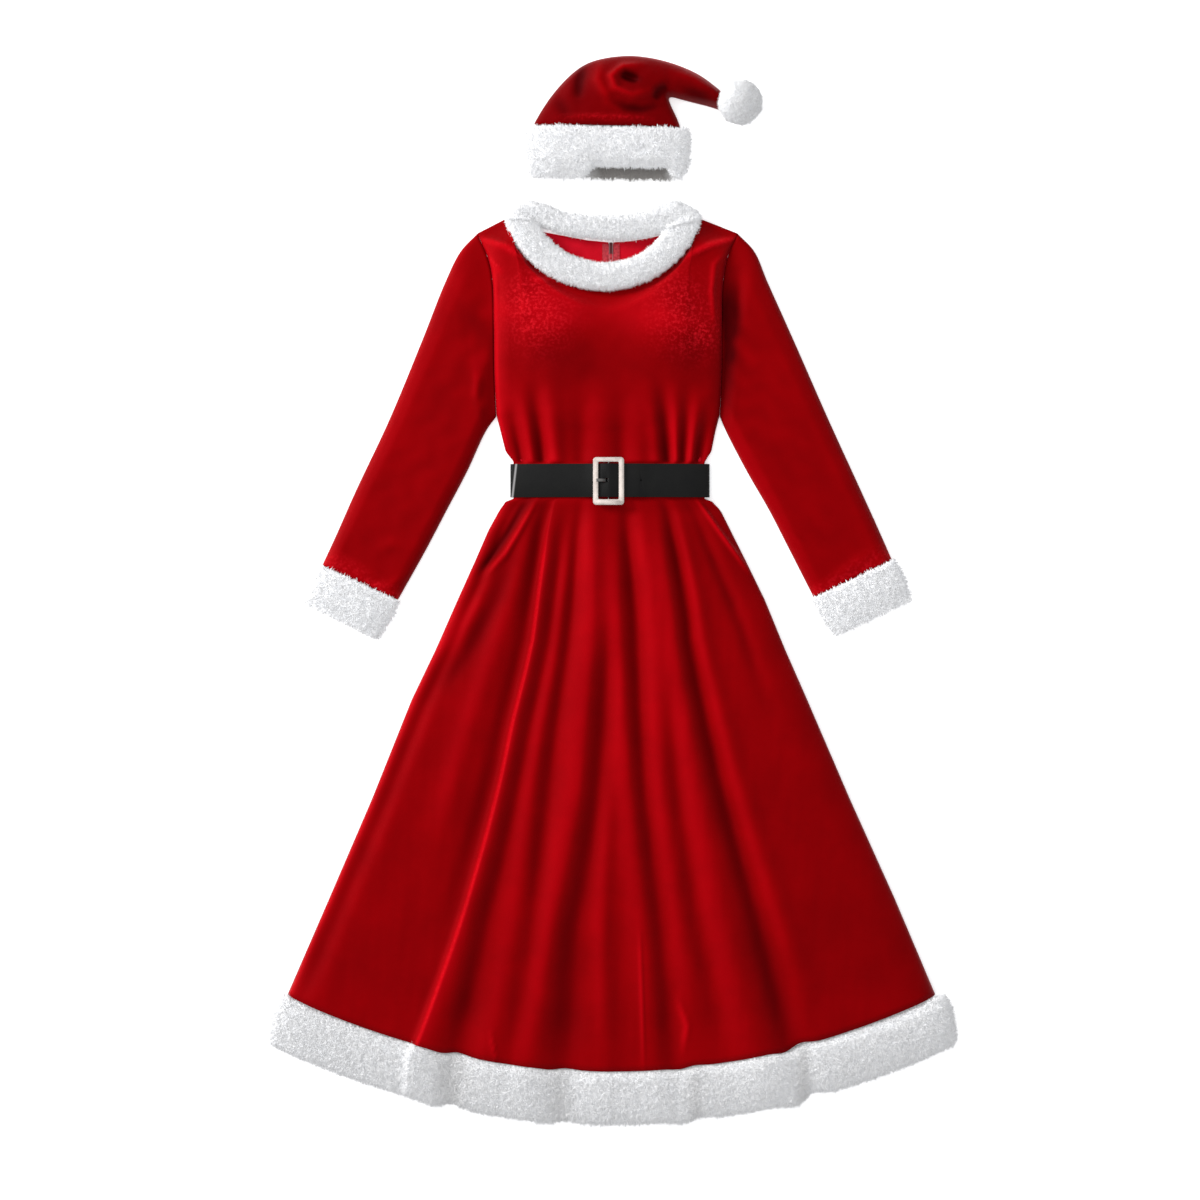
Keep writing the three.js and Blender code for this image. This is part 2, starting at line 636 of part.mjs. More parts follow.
const sleeveHigh = (s, t) => {
  const opening = SIDE_LIFT + CLOTH + ARM_LIFT * Math.sin(Math.PI * s);
  const loft = 5.2 + 11 * Math.sqrt(4 * s * (1 - s));
  const creases = 2.2 * bump((t - 0.86 - 0.1 * s) * 500, 9) + 1.8 * bump((t - 0.78 + 0.08 * s) * 500, 11)
    + 2.4 * bump((t - 0.16 - 0.18 * s) * 500, 14);
  return mix(opening, loft, ease(0, 0.15, t)) + creases * Math.sin(Math.PI * s) * ease(0, 0.1, t);
};

function sleeve(side) {
  const edges = sleeveEdges[side];
  const shift = side === 'left' ? -ARM_GAP : ARM_GAP;
  const armhole = (s) => {
    const [x, y] = armholes[side](s);
    return [x + shift, y - 2 * s, 0];
  };
  const { from, to } = edges.end;
  const end = (s) => [mix(from[0], to[0], s), mix(from[1], to[1], s), 0];
  const plan = patch(armhole, end, edges.outer, edges.inner);
  const shares = [0.03, 0.12, 0.27, 0.42, 0.58, 0.73, 0.88, 0.97];
  const stations = [0, 0.06, 0.13, 0.2, 0.28, 0.38, 0.48, 0.58, 0.68, 0.76, 0.83, 0.89, 0.95, 1];
  const loop = (t, inner) => {
    const [pa, pb] = [plan(0, t), plan(1, t)];
    const inset = inner ? CLOTH / Math.hypot(pb[0] - pa[0], pb[1] - pa[1]) : 0;
    const place = (s, z) => {
      const [x, y] = plan(mix(inset, 1 - inset, s), t);
      return [x, y, z];
    };
    const top = (s) => sleeveHigh(s, t) - (inner ? CLOTH : 0);
    const bottom = inner ? CLOTH : 0;
    const upper = shares.map((s) => place(s, Math.max(top(s), bottom + 0.5)));
    const lower = [...shares].reverse().filter((_, k) => k % 2 === 0).map((s) => place(s, bottom));
    return [place(0, 2.6), ...upper, place(1, 2.6), ...lower];
  };
  return tube(stations.map((t) => loop(t, false)), stations.map((t) => loop(t, true)));
}

// A cuff starts just past the end of its sleeve, a little wider than it
const cuffEnds = {
  left: { from: [-465.75, -16.5], to: [-354.75, -73.5] },
  right: { from: [449.25, -13.5], to: [335.25, -67.5] },
};

function cuff(side) {
  const { from, to } = sleeveEdges[side].end;
  const length = Math.hypot(to[0] - from[0], to[1] - from[1]);
  const along = [(to[0] - from[0]) / length, (to[1] - from[1]) / length];
  const away = side === 'left' ? [along[1], -along[0]] : [-along[1], along[0]];
  const shifted = (p, sideways) => [0, 1].map((k) => p[k] + along[k] * sideways + away[k] * 0.45);
  const [startA, startB] = [shifted(from, -4), shifted(to, 4)];
  const ends = cuffEnds[side];
  const swell = (t) => 3 * Math.sin(Math.PI * t);
  const edge = (start, stop, sign) => (t) =>
    [0, 1].map((k) => mix(start[k], stop[k], t) + sign * along[k] * swell(t));
  return flatTube({
    a: edge(startA, ends.from, -1),
    b: edge(startB, ends.to, 1),
    high: (s, t) => 10 + 14 * Math.sqrt(4 * s * (1 - s)) * (0.7 + 0.3 * Math.sin(Math.PI * t)),
    stations: [0, 0.12, 0.35, 0.65, 0.88, 1],
    shares: [0.04, 0.2, 0.4, 0.6, 0.8, 0.96],
    under: 3.5,
    over: 5,
    side: 5,
  });
}

// The section of the neck band, as shares across from its outer edge and up from its low one
const BAND_SECTION = [
  [0, 0.45], [0.1, 0.85], [0.32, 1], [0.62, 1], [0.88, 0.85],
  [1, 0.45], [0.9, 0.08], [0.6, 0], [0.3, 0], [0.08, 0.1],
];

// The fur band round the neck, open at the centre back. It lies on the back panels in front
// and at the sides, and on the floor behind.
function neckBand() {
  const section = (angle, endX) => {
    const [c, m] = [Math.cos(angle), Math.abs(Math.sin(angle))];
    const front = Math.sin(angle) > 0;
    const outer = [NECK.x + NECK.half * c, NECK.y];
    outer[1] += front ? -NECK.depth * m ** NECK.power : lookUp(bandRise, 'm', 'rise', m);
    const inner = [NECK_IN.x + NECK_IN.half * c, NECK_IN.y];
    inner[1] -= (front ? NECK_IN.front : NECK_IN.back) * m ** NECK.power;
    inner[1] += NECK_IN.tilt * NECK_IN.half * c;
    if (endX !== undefined) outer[0] = inner[0] = endX;
    const low = 4.6 * (front ? 1 : ease(0.62, 0.25, m));
    const top = mix(21, 27, front ? ease(-0.3, 0.6, m) : ease(0.4, 0, m));
    const place = ([s, z]) => [mix(outer[0], inner[0], s), mix(outer[1], inner[1], s), mix(low, top, z)];
    return BAND_SECTION.map(place);
  };
  const start = -Math.PI / 2 + 0.1;
  const end = (3 * Math.PI) / 2 + 0.08;
  const angles = steps(34, start, end);
  return bar(angles.map((angle, k) => {
    if (k === 0) return section(angle, CENTRE_BACK + 0.5);
    if (k === angles.length - 1) return section(angle - 0.16, CENTRE_BACK - 0.5);
    return section(angle);
  }));
}

// The zip at the centre back: tapes on the inside of the back panels, the chain between them
function zip() {
  const { low, high } = ZIP;
  for (const [name, sign] of [['zip_tape_left', -1], ['zip_tape_right', 1]]) {
    const xs = [CENTRE_BACK + sign * 2.8, CENTRE_BACK + sign * 13].sort((p, q) => p - q);
    add(name, block([xs[0], low, CLOTH + SEAM], [xs[1], high, CLOTH + SEAM + 0.8]), zipRed);
  }
  add('zip_chain', block([CENTRE_BACK - 2.5, low, 1.9], [CENTRE_BACK + 2.5, high - 9, 3.7]), zipRed);
  // Two plates over and under the chain, joined past its upper end
  const sliderLow = high - 15;
  const plates = new THREE.Shape();
  plates.moveTo(sliderLow, 0.7);
  plates.lineTo(high + 2, 0.7);
  plates.lineTo(high + 2, 4.4);
  plates.lineTo(sliderLow, 4.4);
  plates.lineTo(sliderLow, 4);
  plates.lineTo(high - 8, 4);
  plates.lineTo(high - 8, 1.5);
  plates.lineTo(sliderLow, 1.5);
  plates.closePath();
  const width = 5;
  const slider = new THREE.ExtrudeGeometry(plates, { depth: width, bevelEnabled: false })
    .applyMatrix4(new THREE.Matrix4().makeBasis(
      new THREE.Vector3(0, 1, 0), new THREE.Vector3(0, 0, 1), new THREE.Vector3(1, 0, 0)))
    .translate(CENTRE_BACK - width / 2, 0, 0);
  add('zip_slider', slider, silver);
  // The pull lies flat under the slider, against the floor
  const pullHalf = 2.2;
  const pullLow = [CENTRE_BACK - pullHalf, sliderLow - 22, 0];
  add('zip_pull', block(pullLow, [CENTRE_BACK + pullHalf, sliderLow + 4, 0.4]), silver);
}

// A flat line of points offset to both sides becomes the outline of a strap
function strapShape(line, thick) {
  const sides = [[], []];
  line.forEach(([x, z], i) => {
    const [px, pz] = line[Math.max(i - 1, 0)];
    const [nx, nz] = line[Math.min(i + 1, line.length - 1)];
    const before = Math.hypot(x - px, z - pz) || 1;
    const after = Math.hypot(nx - x, nz - z) || 1;
    const dx = (x - px) / before + (nx - x) / after;
    const dz = (z - pz) / before + (nz - z) / after;
    const length = Math.hypot(dx, dz);
    sides[0].push(new THREE.Vector2(x - (dz / length) * thick / 2, z + (dx / length) * thick / 2));
    sides[1].push(new THREE.Vector2(x + (dz / length) * thick / 2, z - (dx / length) * thick / 2));
  });
  return new THREE.Shape([...sides[0], ...sides[1].reverse()]);
}

const arc = (x, z, radius, from, to, count) =>
  steps(count, from, to).map((angle) => [x + radius * Math.cos(angle), z + radius * Math.sin(angle)]);

// The strap is one line: from its folded end, round the centre bar, to the right, round the
// back, over the front from the left, through the buckle, and on top of itself to its tail
function beltStrap() {
  const half = BELT.thick / 2;
  const low = half;
  const [left, right] = [sideX('left', BELT_MIDDLE), sideX('right', BELT_MIDDLE)];
  const lift = frontSeamLift(BELT_MIDDLE) + CLOTH + BELT_GAP + half;
  const frontZ = (x) => lift + waistShape((x - left) / (right - left));
  const endZ = frontZ(left);
  const radius = (endZ - low) / 2;
  const midZ = low + radius;
  const layer = BELT.thick + BELT_GAP;
  const underZ = 17.5;
  const loopRadius = PIN.radius + BELT_GAP + half;
  const run = (from, to, count, extra) => steps(count, from, to).map((x) => [x, frontZ(x) + extra]);
  const line = [
    [30, underZ], [12, underZ], [3, underZ + 0.3],
    ...arc(PIN.x, PIN.z, loopRadius, -Math.PI / 2, -1.5 * Math.PI, 8),
    ...fixedFromBar.map(({ x, z }) => [x, z]),
    ...run(60, right, 7, 0),
    ...arc(right, midZ, radius, Math.PI / 2, -Math.PI / 2, 8).slice(1),
    ...steps(6, right, left).slice(1, -1).map((x) => [x, low]),
    ...arc(left, midZ, radius, -Math.PI / 2, -1.5 * Math.PI, 8),
    ...run(left, -56, 9, 0).slice(1),
    ...tailOverBar.map(({ x, z }) => [x, z]),
    ...run(60, right, 7, layer),
    ...arc(right, midZ, radius + layer, Math.PI / 2, -0.2, 6).slice(1),
  ];
  let strap = toManifold(alongY(strapShape(line, BELT.thick), BELT.top, BELT.width));
  const slot = (x0, x1, z0, z1) =>
    toManifold(block([x0, BELT_MIDDLE - 3, z0], [x1, BELT_MIDDLE + 3, z1]));
  strap = strap.subtract(slot(PIN.x - 4.6, PIN.x + 5.5, PIN.z - 6.5, PIN.z + 4.25));
  strap = strap.subtract(slot(-14.6, -6.4, 24, 31));
  const punched = new THREE.CylinderGeometry(1.6, 1.6, 4.2, 10).rotateX(Math.PI / 2);
  strap = strap.subtract(toManifold(punched.translate(HOLE_X, BELT_MIDDLE, 22.3)));
  return fromManifold(strap);
}

function roundedRect(left, right, bottom, top, radius, shape) {
  shape.moveTo(left + radius, bottom);
  shape.lineTo(right - radius, bottom);
  shape.absarc(right - radius, bottom + radius, radius, -Math.PI / 2, 0);
  shape.lineTo(right, top - radius);
  shape.absarc(right - radius, top - radius, radius, 0, Math.PI / 2);
  shape.lineTo(left + radius, top);
  shape.absarc(left + radius, top - radius, radius, Math.PI / 2, Math.PI);
  shape.lineTo(left, bottom + radius);
  shape.absarc(left + radius, bottom + radius, radius, Math.PI, 1.5 * Math.PI);
  return shape;
}

// The frame, with the centre bar hung between its top and bottom rails
function beltBuckle() {
  const { left, right, top, bottom, z, thick } = BUCKLE;
  const bars = BUCKLE_BARS;
  const outline = roundedRect(left, right, bottom, top, 5, new THREE.Shape());
  const window = [left + bars.side, right - bars.side, bottom + bars.bottom, top - bars.top];
  outline.holes.push(roundedRect(...window, 2, new THREE.Path()));
  const flat = new THREE.ExtrudeGeometry(outline, { depth: thick, bevelEnabled: false, curveSegments: 5 });
  let frame = toManifold(flat.translate(0, 0, z));
  const pinLength = top - bottom - 8;
  const centreY = (top + bottom) / 2;
  const pin = new THREE.CylinderGeometry(PIN.radius, PIN.radius, pinLength, 12);
  frame = frame.add(toManifold(pin.translate(PIN.x, centreY, PIN.z)));
  for (const sign of [-1, 1]) {
    const y = centreY + sign * (pinLength / 2 - 1.2);
    const hanger = block([PIN.x - 1.6, y - 1.2, PIN.z - 1], [PIN.x + 1.6, y + 1.2, z + 0.5]);
    frame = frame.add(toManifold(hanger));
  }
  return fromManifold(frame);
}

// The prong: an eye round the centre bar and an arm up through the strap, over the left bar
function beltProng() {
  const arm = strapShape([[-8, 23.2], [-10.2, 26], [-12.6, 28.3], [-15.5, 28.95], [-24, 28.9]], 2);
  const far = BELT_MIDDLE + PRONG_WIDTH / 2;
  const eye = new THREE.Shape().absarc(PIN.x, PIN.z, 3, 0, 2 * Math.PI);
  eye.holes.push(new THREE.Path().absarc(PIN.x, PIN.z, PIN.radius + BELT_GAP, 0, 2 * Math.PI));
  const parts = [eye, arm].map((shape) => toManifold(alongY(shape, far, PRONG_WIDTH)));
  return fromManifold(parts[0].add(parts[1]));
}

// The cap of the hat is a flattened tube, closed at the pompom. Soft folds turn round the
// place where the tip falls over.
function hatCrown() {
  const count = crownSections.length - 1;
  const at = (t, x, y) => {
    const row = Math.min(count, Math.round(t * count));
    return [crownSections[row][x], crownSections[row][y]];
  };
  const high = (s, t) => {
    const row = crownSections[Math.min(count, Math.round(t * count))];
    const round = Math.sqrt(4 * s * (1 - s));
    const swirl = 4 * Math.sin(2 * Math.PI * (s * 1.6 - t * 0.7)) * Math.sin(Math.PI * s) ** 2;
    const pocket = -6 * bump((t - 0.42) * 10, 1.2) * bump((s - 0.5) * 10, 1.3);
    const calm = ease(1, 0.85, t) * ease(0, 0.15, t);
    return Math.max(5, 5.2 + (row.high - 5.2) * round + (swirl + pocket) * calm);
  };
  return flatTube({
    a: (t) => at(t, 'ax', 'ay'),
    b: (t) => at(t, 'bx', 'by'),
    high,
    stations: steps(count),
    shares: [0.04, 0.14, 0.26, 0.38, 0.5, 0.62, 0.74, 0.86, 0.96],
    under: CLOTH,
    over: CLOTH,
    side: CLOTH,
    closedEnd: true,
  });
}

function hatBrim() {
  const slope = -0.0158;
  const count = brimSections.length - 1;
  const row = (t) => brimSections[Math.round(t * count)];
  const at = (t, side) => [row(t)[side], row(t).y + slope * row(t)[side]];
  return flatTube({
    a: (t) => at(t, 'left'),
    b: (t) => at(t, 'right'),
    high: (s, t) => 9 + (row(t).high - 9) * Math.min(1, 1.25 * Math.sqrt(4 * s * (1 - s))),
    stations: steps(count),
    shares: [0.025, 0.08, 0.17, 0.29, 0.43, 0.57, 0.71, 0.83, 0.92, 0.975],
    under: 3.5,
    over: 4.5,
    side: 5,
  });
}

// Each face of a ball is drawn out into a three-sided lock, but for those at the hat's tip
function hatPompom() {
  const ball = new THREE.IcosahedronGeometry(POMPOM.core, 1);
  const p = ball.attributes.position;
  const centre = new THREE.Vector3(POMPOM.x, POMPOM.y, POMPOM.z);
  const vertices = [];
  const squash = new THREE.Vector3(1, 1, POMPOM.flat);
  const put = (point) => vertices.push(point.clone().multiply(squash).add(centre).toArray());
  for (let i = 0; i < p.count; i += 3) {
    const corners = [0, 1, 2].map((k) => new THREE.Vector3().fromBufferAttribute(p, i + k));
    const middle = corners[0].clone().add(corners[1]).add(corners[2]).divideScalar(3);
    const out = middle.clone().normalize();
    const triangle = (a, b, c) => [a, b, c].forEach(put);
    if (out.x < -0.7) {
      triangle(...corners);
      continue;
    }
    const reach = POMPOM.reach - 2 * ((i * 7) % 5) / 5;
    const root = corners.map((corner) => corner.clone().lerp(middle, 0.14));
    const neck = corners.map((corner) => corner.clone().lerp(middle, 0.35).addScaledVector(out, 5.5));
    const tip = out.clone().multiplyScalar(reach);
    for (let k = 0; k < 3; k++) {
      const n = (k + 1) % 3;
      triangle(corners[k], corners[n], root[n]);
      triangle(corners[k], root[n], root[k]);
      triangle(root[k], root[n], neck[n]);
      triangle(root[k], neck[n], neck[k]);
      triangle(neck[k], neck[n], tip);
    }
  }
  const geometry = new THREE.BufferGeometry();
  geometry.setAttribute('position', new THREE.Float32BufferAttribute(vertices.flat(), 3));
  return outward(mergeVertices(geometry, 1e-4));
}

add('bodice_front', bodiceFront(), velvet);
add('bodice_back_left', bodiceBack('left'), velvet);
add('bodice_back_right', bodiceBack('right'), velvet);
add('skirt_front', skirtFront(), velvet);
add('skirt_back', skirtBack(), velvet);
add('sleeve_left', sleeve('left'), velvet);
add('sleeve_right', sleeve('right'), velvet);
add('cuff_left', cuff('left'), fur);
add('cuff_right', cuff('right'), fur);
add('neck_band', neckBand(), fur);
add('hem_band_front', hemFront(), fur);
add('hem_band_back', hemBack(), fur);
zip();
add('belt_strap', beltStrap(), leather);
add('belt_buckle', beltBuckle(), silver);
add('belt_prong', beltProng(), silver);
add('hat_crown', hatCrown(), velvet);
add('hat_brim', hatBrim(), fur);
add('hat_pompom', hatPompom(), fur);

export default group;
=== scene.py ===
# %% [markdown]
# # A velvet dress with fur bands, its belt and its hat, laid flat
# The dress lies on a table and is seen from straight above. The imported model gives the
# place of every panel, band and buckle. This lesson dresses each of them: thin velvet
# shells with soft folds, bands of short fur, a grained strap and a satin buckle.

import math

import bmesh
import bpy
import numpy as np
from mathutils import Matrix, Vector


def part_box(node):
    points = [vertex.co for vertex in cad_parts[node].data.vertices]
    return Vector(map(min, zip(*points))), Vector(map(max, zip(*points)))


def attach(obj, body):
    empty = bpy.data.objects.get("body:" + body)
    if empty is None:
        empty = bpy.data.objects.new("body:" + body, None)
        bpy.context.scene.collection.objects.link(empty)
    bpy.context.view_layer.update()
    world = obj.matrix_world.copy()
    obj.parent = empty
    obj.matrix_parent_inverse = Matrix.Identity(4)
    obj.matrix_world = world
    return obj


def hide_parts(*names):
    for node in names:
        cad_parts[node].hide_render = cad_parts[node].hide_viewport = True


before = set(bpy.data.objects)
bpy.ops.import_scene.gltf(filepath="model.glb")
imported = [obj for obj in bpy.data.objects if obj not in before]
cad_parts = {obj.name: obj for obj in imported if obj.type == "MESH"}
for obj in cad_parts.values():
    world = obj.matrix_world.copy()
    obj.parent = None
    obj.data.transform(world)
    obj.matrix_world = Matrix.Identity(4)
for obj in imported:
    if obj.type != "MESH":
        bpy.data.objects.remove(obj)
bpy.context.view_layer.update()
MM = 0.001
scene = bpy.context.scene

# %% [markdown]
# ## Camera, floor and light
# A flat lay is photographed from straight above, so the camera looks down the Z axis with
# a long lens, which keeps the outlines true. A pale floor stands for the paper. One broad
# light stands low on the left, because velvet shows its folds only when light rakes across
# them, and a weak one overhead opens the shade. The Standard view keeps the deep red, where
# the default view would wash it out.

# %% Camera
FRAME_WIDTH = 1.8  # metres of floor across the picture
CAMERA_HEIGHT = 4.0
CAMERA_AIM = (-0.01875, -0.0135)
CLOTH_LEVEL = 0.02  # the height of the cloth that the outlines are seen at
SENSOR = 36.0


def place(thing):
    scene.collection.objects.link(thing)
    return thing


camera_data = bpy.data.cameras.new("camera")
camera_data.sensor_width = SENSOR
camera_data.lens = SENSOR * CAMERA_HEIGHT / FRAME_WIDTH
camera = place(bpy.data.objects.new("camera", camera_data))
camera.location = (*CAMERA_AIM, CAMERA_HEIGHT + CLOTH_LEVEL)
scene.camera = camera
scene.view_settings.view_transform = "Standard"
print("camera lens:", camera_data.lens)

# %% Floor
FLOOR_HALF = 6.0
FLOOR_DROP = -0.0006
PAPER_GLOW = 0.3  # stands for the light that white paper gets from all round


def plain_material(name, colour, roughness):
    material = bpy.data.materials.new(name)
    material.use_nodes = True
    shader = material.node_tree.nodes["Principled BSDF"]
    shader.inputs["Base Color"].default_value = (*colour, 1)
    shader.inputs["Roughness"].default_value = roughness
    return material


floor_mesh = bpy.data.meshes.new("floor")
corners = [(-1, -1), (1, -1), (1, 1), (-1, 1)]
floor_mesh.from_pydata([(FLOOR_HALF * x, FLOOR_HALF * y, FLOOR_DROP) for x, y in corners], [], [(0, 1, 2, 3)])
floor_paper = plain_material("pale_floor", (0.9, 0.9, 0.9), 0.9)
paper_shader = floor_paper.node_tree.nodes["Principled BSDF"]
paper_shader.inputs["Emission Color"].default_value = (1, 1, 1, 1)
paper_shader.inputs["Emission Strength"].default_value = PAPER_GLOW
floor_mesh.materials.append(floor_paper)
floor = place(bpy.data.objects.new("floor", floor_mesh))
print("floor half width:", FLOOR_HALF)

# %% Lights


def area_light(name, spot, size, power):
    data = bpy.data.lights.new(name, "AREA")
    data.shape = "DISK"
    data.size = size
    data.energy = power
    light = place(bpy.data.objects.new(name, data))
    light.location = spot
    light.rotation_euler = (-Vector(spot)).to_track_quat("-Z", "Y").to_euler()


area_light("key", (-7.2, 3.8, 4.3), size=3.2, power=820)
area_light("fill", (-0.5, 0.6, 3.8), size=3.0, power=32)

world = bpy.data.worlds.new("studio")
world.use_nodes = True
world.node_tree.nodes["Background"].inputs["Color"].default_value = (0.97, 0.98, 1.0, 1)
world.node_tree.nodes["Background"].inputs["Strength"].default_value = 0.78
scene.world = world

# %% [markdown]
# ## Shared finishes
# Velvet, fur and leather all need small random relief, so it is made once, as a shader
# node group that turns object coordinates into a mask and a bumped normal. Each material
# keeps its own Principled shader and feeds it from the group with its own values.

# %% The relief group


def new_group(name, inputs, outputs):
    group = bpy.data.node_groups.new(name, "ShaderNodeTree")
    for title, kind, value in inputs:
        socket = group.interface.new_socket(name=title, in_out="INPUT", socket_type=kind)
        socket.default_value = value
    for title, kind in outputs:
        group.interface.new_socket(name=title, in_out="OUTPUT", socket_type=kind)
    return group, group.nodes.new("NodeGroupInput"), group.nodes.new("NodeGroupOutput")


COLOUR, NUMBER, VECTOR = "NodeSocketColor", "NodeSocketFloat", "NodeSocketVector"
# Gain and offset that spread the middle of a noise over the whole mask
PATCH_CONTRAST = (3.3, -1.15)
FLECK_CONTRAST = (4.5, -2.1)


def noise_node(tree, coordinates, scale, detail):
    node = tree.nodes.new("ShaderNodeTexNoise")
    node.inputs["Detail"].default_value = detail
    node.inputs["Roughness"].default_value = 0.6
    tree.links.new(coordinates, node.inputs["Vector"])
    tree.links.new(scale, node.inputs["Scale"])
    return node.outputs["Fac"]


def colour_mix(tree, factor, first, second, blend="MIX"):
    node = tree.nodes.new("ShaderNodeMix")
    node.data_type = "RGBA"
    node.blend_type = blend
    for socket, value in (("Factor", factor), ("A", first), ("B", second)):
        target = [s for s in node.inputs if s.name == socket and s.enabled][0]
        if isinstance(value, (tuple, float)):
            target.default_value = value
        else:
            tree.links.new(value, target)
    return [s for s in node.outputs if s.enabled][0]


def math_node(tree, operation, *values, clamp=False):
    node = tree.nodes.new("ShaderNodeMath")
    node.operation = operation
    node.use_clamp = clamp
    for socket, value in zip(node.inputs, values):
        if isinstance(value, (int, float)):
            socket.default_value = value
        else:
            tree.links.new(value, socket)
    return node.outputs[0]


def soft_relief_group():
    """Broad patches for the colour, and fine grain for the bump and the roughness."""
    group, start, end = new_group(
        "soft relief",
        [
            ("Colour", COLOUR, (0.5, 0.5, 0.5, 1)),
            ("Patch colour", COLOUR, (0.3, 0.3, 0.3, 1)),
            ("Patch scale", NUMBER, 20.0),
            ("Grain scale", NUMBER, 900.0),
            ("Grain height", NUMBER, 0.0003),
            ("Roughness", NUMBER, 0.7),
            ("Roughness spread", NUMBER, 0.1),
        ],
        [("Colour", COLOUR), ("Roughness", NUMBER), ("Normal", VECTOR)],
    )
    link = group.links.new
    at = group.nodes.new("ShaderNodeTexCoord").outputs["Object"]
    patches = noise_node(group, at, start.outputs["Patch scale"], 4.0)
    grain = noise_node(group, at, start.outputs["Grain scale"], 3.0)
    spread = math_node(group, "MULTIPLY_ADD", patches, *PATCH_CONTRAST, clamp=True)
    colour = colour_mix(group, spread, start.outputs["Patch colour"], start.outputs["Colour"])
    link(colour, end.inputs["Colour"])
    swing, middle = start.outputs["Roughness spread"], start.outputs["Roughness"]
    link(math_node(group, "MULTIPLY_ADD", grain, swing, middle), end.inputs["Roughness"])
    bump_node = group.nodes.new("ShaderNodeBump")
    link(start.outputs["Grain height"], bump_node.inputs["Distance"])
    link(grain, bump_node.inputs["Height"])
    link(bump_node.outputs["Normal"], end.inputs["Normal"])
    return group


SOFT_RELIEF = soft_relief_group()
print("group outputs:", [s.name for s in SOFT_RELIEF.interface.items_tree if s.in_out == "OUTPUT"])

# %% [markdown]
# ## Painted light and shade
# Velvet is given painted shade in its troughs and painted light on its crests and on the
# slopes that face the light. Small flecks of painted highlight also lie where it catches
# the light. Both are worked out with each panel's shape and kept on it as two attributes,
# nap and shine, which this group turns into a colour.

# %% The painted shading group


def painted_shading_group():
    group, start, end = new_group(
        "velvet nap",
        [
            ("Nap", NUMBER, 0.5),
            ("Shine", NUMBER, 0.0),
            ("Colour", COLOUR, (0.3, 0.0, 0.0, 1)),
            ("Shade", COLOUR, (0.1, 0.0, 0.0, 1)),
            ("Light", COLOUR, (0.5, 0.0, 0.0, 1)),
            ("Fleck", COLOUR, (0.9, 0.05, 0.05, 1)),
            ("Fleck scale", NUMBER, 230.0),
        ],
        [("Colour", COLOUR)],
    )
    # Mixes painted shade, the plain colour and painted light by the painted shading
    low = math_node(group, "MULTIPLY", start.outputs["Nap"], 2.0, clamp=True)
    high = math_node(group, "MULTIPLY_ADD", start.outputs["Nap"], 2.0, -1.0, clamp=True)
    colour = colour_mix(group, low, start.outputs["Shade"], start.outputs["Colour"])
    colour = colour_mix(group, high, colour, start.outputs["Light"])
    # Flecks of painted highlight, as strong as Shine
    at = group.nodes.new("ShaderNodeTexCoord").outputs["Object"]
    flecks = noise_node(group, at, start.outputs["Fleck scale"], 3.0)
    flecks = math_node(group, "MULTIPLY_ADD", flecks, *FLECK_CONTRAST, clamp=True)
    flecks = math_node(group, "MULTIPLY", flecks, start.outputs["Shine"])
    group.links.new(colour_mix(group, flecks, colour, start.outputs["Fleck"]), end.inputs["Colour"])
    return group


PAINTED_SHADING = painted_shading_group()
print("nap inputs:", [s.name for s in PAINTED_SHADING.interface.items_tree if s.in_out == "INPUT"])

# %% [markdown]
# ## Finishes of the pieces
# The velvet joins both groups. The fur is white with a faint cool shade, the strap is near
# black with a fine grain, and the buckle is satin silver.

# %% Materials


def relief_material(name, relief, shader_values):
    """A Principled material that takes colour, roughness and normal from the relief group."""
    material = bpy.data.materials.new(name)
    material.use_nodes = True
    tree = material.node_tree
    shader = tree.nodes["Principled BSDF"]
    node = tree.nodes.new("ShaderNodeGroup")
    node.node_tree = SOFT_RELIEF
    for key, value in relief.items():
        node.inputs[key].default_value = value
    tree.links.new(node.outputs["Colour"], shader.inputs["Base Color"])
    tree.links.new(node.outputs["Roughness"], shader.inputs["Roughness"])
    tree.links.new(node.outputs["Normal"], shader.inputs["Normal"])
    for key, value in shader_values.items():
        shader.inputs[key].default_value = value
    return material


def relief(colour, patch, patch_scale, grain_scale, grain_height, roughness, spread=0.1):
    return {
        "Colour": (*colour, 1),
        "Patch colour": (*patch, 1),
        "Patch scale": patch_scale,
        "Grain scale": grain_scale,
        "Grain height": grain_height,
        "Roughness": roughness,
        "Roughness spread": spread,
    }


VELVET_SHEEN = {
    "Sheen Weight": 0.2,
    "Sheen Roughness": 0.3,
    "Sheen Tint": (1.0, 0.02, 0.05, 1),
    "Specular IOR Level": 0.15,
    "Specular Tint": (1.0, 0.03, 0.06, 1),
}


def velvet_material():
    material = relief_material(
        "red_velvet",
        relief((1, 1, 1), (0.86, 0.86, 0.86), 14.0, 1100.0, 0.00022, 0.55, 0.12),
        VELVET_SHEEN,
    )
    tree = material.node_tree
    nap = tree.nodes.new("ShaderNodeGroup")
    nap.node_tree = PAINTED_SHADING
    # Shade and Light are the painted shade and painted light, and Fleck is the colour of the painted
    # highlight flecks
    nap.inputs["Colour"].default_value = (0.22, 0.0001, 0.001, 1)
    nap.inputs["Shade"].default_value = (0.045, 0.0, 0.0003, 1)
    nap.inputs["Light"].default_value = (0.42, 0.0008, 0.004, 1)
    nap.inputs["Fleck"].default_value = (0.62, 0.009, 0.017, 1)
    for name in ("Nap", "Shine"):
        attribute = tree.nodes.new("ShaderNodeAttribute")
        attribute.attribute_name = name.lower()
        tree.links.new(attribute.outputs["Fac"], nap.inputs[name])
    shader = tree.nodes["Principled BSDF"]
    patches = shader.inputs["Base Color"].links[0].from_socket
    colour = colour_mix(tree, 1.0, patches, nap.outputs["Colour"], "MULTIPLY")
    tree.links.new(colour, shader.inputs["Base Color"])
    return material


